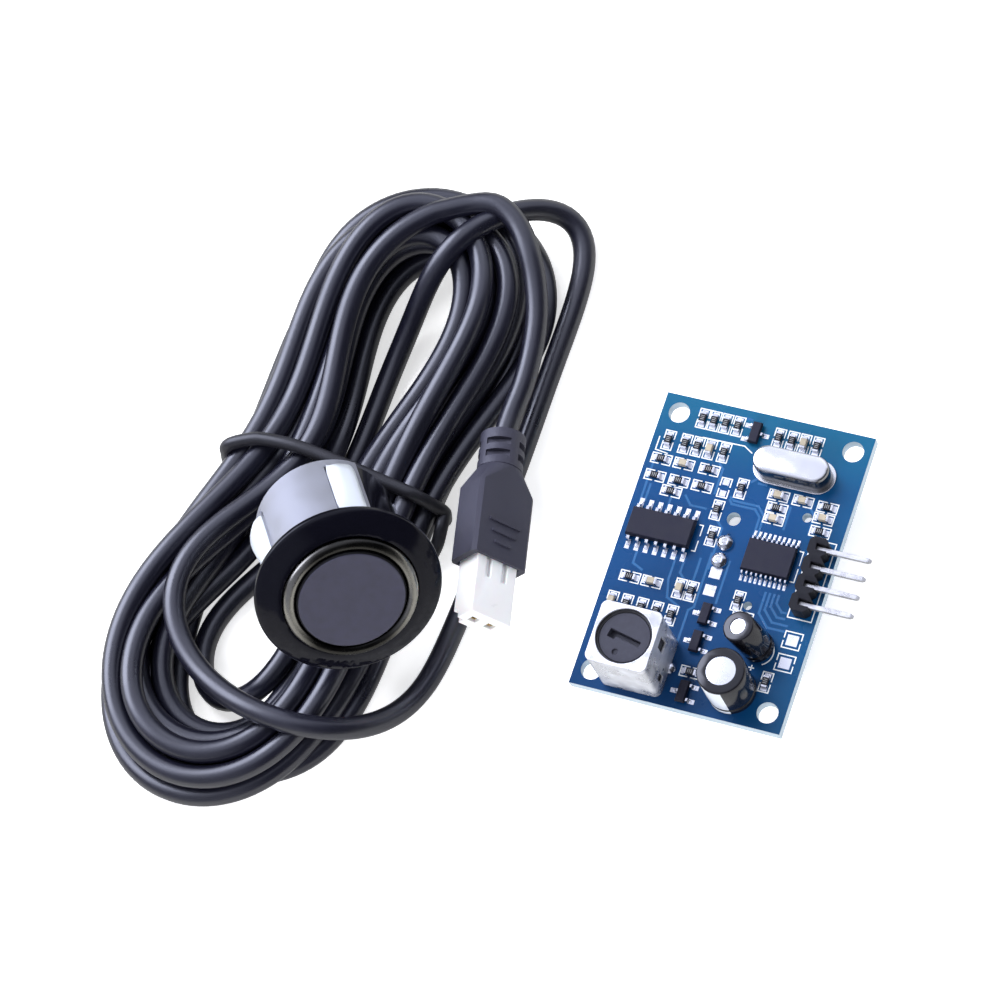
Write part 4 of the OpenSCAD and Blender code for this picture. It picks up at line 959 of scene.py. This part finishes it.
# Tuning transformer
# A tinned screening can over a black frame; the slotted ferrite core is screwed into its top. Inside
# are the drum core and its copper winding.
can_tin = surface(
    "can_tin", (0.72, 0.73, 0.77), 0.33, metal=0.68, grain=(700, 0.5), cloud=(420, 0.5), wear=0.2
)
frame_black = surface("frame_black", (0.02, 0.02, 0.023), 0.45)
ferrite = surface("ferrite", (0.036, 0.037, 0.052), 0.5, grain=(4000, 0.35), cloud=(900, 0.35))
copper = surface("copper_wire", (0.72, 0.3, 0.12), 0.3, metal=1)
fitted("transformer_can", can_tin, 0.25, 3)
fitted("transformer_frame", frame_black, 0.05, 1)
fitted("tuning_core", ferrite, 0.08, 2, "core")
fitted("transformer_drum", ferrite, 0.05, 1)
fitted("transformer_winding", copper)
fitted("transformer_pins", pin_tin)

# Electrolytic capacitors
# Drawn aluminium cans in shrunk black sleeves, which leave the top bare inside a turned-in rim. The
# large one has a pale stripe down the side of its negative lead.
aluminium = surface("can_aluminium", (0.88, 0.89, 0.91), 0.28, metal=1, grain=(4000, 0.1), cloud=(500, 0.05))
sleeve, striped = (
    surface(name, (0.006, 0.006, 0.009), 0.16, grain=(500, 0.18), cloud=(300, 0.3), coat=0.1)
    for name in ("sleeve_black", "sleeve_striped")
)
bung = surface("bung_rubber", (0.03, 0.03, 0.03), 0.7)
# The stripe takes 52 degrees of the wall, round a line towards the near edge
stripe_at, stripe_half = math.radians(-100), math.radians(26)
tree = striped.node_tree
place = tree.nodes["Texture Coordinate"].outputs["Object"]
from_middle = wired(tree, "VectorMath", {0: place, 1: on_board(20.9, 36.9)}, operation="SUBTRACT")
split = wired(tree, "SeparateXYZ", {"Vector": from_middle.outputs["Vector"]})
angle = worked(tree, "ARCTAN2", split.outputs["Y"], split.outputs["X"])
off_stripe = worked(tree, "ABSOLUTE", worked(tree, "SUBTRACT", angle, stripe_at))
on_wall = worked(tree, "LESS_THAN", upward(tree, "Normal"), 0.3)
in_stripe = worked(tree, "MULTIPLY", on_wall, worked(tree, "LESS_THAN", off_stripe, stripe_half))
painted(striped, in_stripe, (0.6, 0.64, 0.7))
# The rim's points are so far down and out from its inner edge, and move in by a share
rim_depth, rim_width, rim_share = 0.00016, 0.0001, 0.16
for kind, cover in (("large", striped), ("small", sleeve)):
    can = fitted(f"{kind}_capacitor_can", aluminium, 0.15, 3)
    wrap = fitted(f"{kind}_capacitor_sleeve", cover, 0.12, 3)
    end = fitted(f"{kind}_capacitor_bung", bung)
    # The sleeve's turned-in rim reaches further in over the top
    points = [np.array([v.co for v in piece.data.vertices]) for piece in (can, end, wrap)]
    axis = (points[0].max(0) + points[0].min(0) - points[1].max(0) - points[1].min(0)) / 2
    axis /= np.linalg.norm(axis)
    height = points[2] @ axis
    top = height > height.max() - rim_depth
    centre = points[2][top].mean(0)
    off = points[2] - centre
    off -= (off @ axis)[:, None] * axis
    size = np.linalg.norm(off, axis=1)
    for i in np.where(top & (size < size[top].min() + rim_width))[0]:
        wrap.data.vertices[i].co -= Vector(off[i] * rim_share)
    fitted(f"{kind}_capacitor_leads", pin_tin)

# Crystal
# A welded nickel-silver can on a flanged base, standing close on the board.
crystal_steel, shaded_walls = (
    surface(name, (0.84, 0.84, 0.83), 0.2, metal=1, grain=(1800, 0.12), cloud=(400, 0.1))
    for name in ("crystal_steel", "crystal_walls")
)
# Painted shade makes the can's drawn walls darker than its top
tree = shaded_walls.node_tree
shaded(shaded_walls, ramp(tree, upward(tree, "Normal"), 0.3, 0.8, 0.12, 1))
fitted("crystal_can", shaded_walls, 0.35, 3)
fitted("crystal_base", crystal_steel, 0.1)
fitted("crystal_leads", pin_tin)

# Chips, transistors and small chip parts
# Moulded black epoxy with tinned gull-wing leads. The resistors are black glass on white ceramic, and
# the capacitors tan ceramic, all with tinned end caps soldered to their pads.
epoxy = surface("chip_epoxy", (0.009, 0.009, 0.018), 0.5, grain=(12000, 0.4), cloud=(700, 0.3))
for material in (epoxy, header_black, ferrite):
    shine(material, 0.3)
glass = surface("resistor_body", (0.012, 0.012, 0.015), 0.2, grain=(6000, 0.15), cloud=(900, 0.3))
tan = surface("capacitor_body", (0.42, 0.37, 0.29), 0.45, grain=(9000, 0.2), cloud=(420, 0.35))
for name in ("amplifier_chip", "controller_chip", *[f"transistor_{k}" for k in range(1, 5)]):
    fitted(name, epoxy, 0.05)
for name in ("amplifier_leads", "controller_leads", "transistor_leads"):
    fitted(name, tin, 0.03, 1)
fitted("chip_resistors", glass, 0.04, 1)
# The value printed on each resistor, as three plain bars
bar_apart = 0.24
upright_bars, level_bars = [], []
for x, y, level in lying[:len(resistors)]:
    for off in (-bar_apart, 0, bar_apart):
        if level:
            upright_bars.append((x + off, y))
        else:
            level_bars.append((x, y + off))
bars = [(0.07, 0.47, upright_bars), (0.47, 0.07, level_bars)]
stamped("resistor_print", bars, 0.52, 0.536, print_grey)
fitted("chip_capacitors", tan, 0.06)
fitted("chip_end_caps", tin, 0.05)
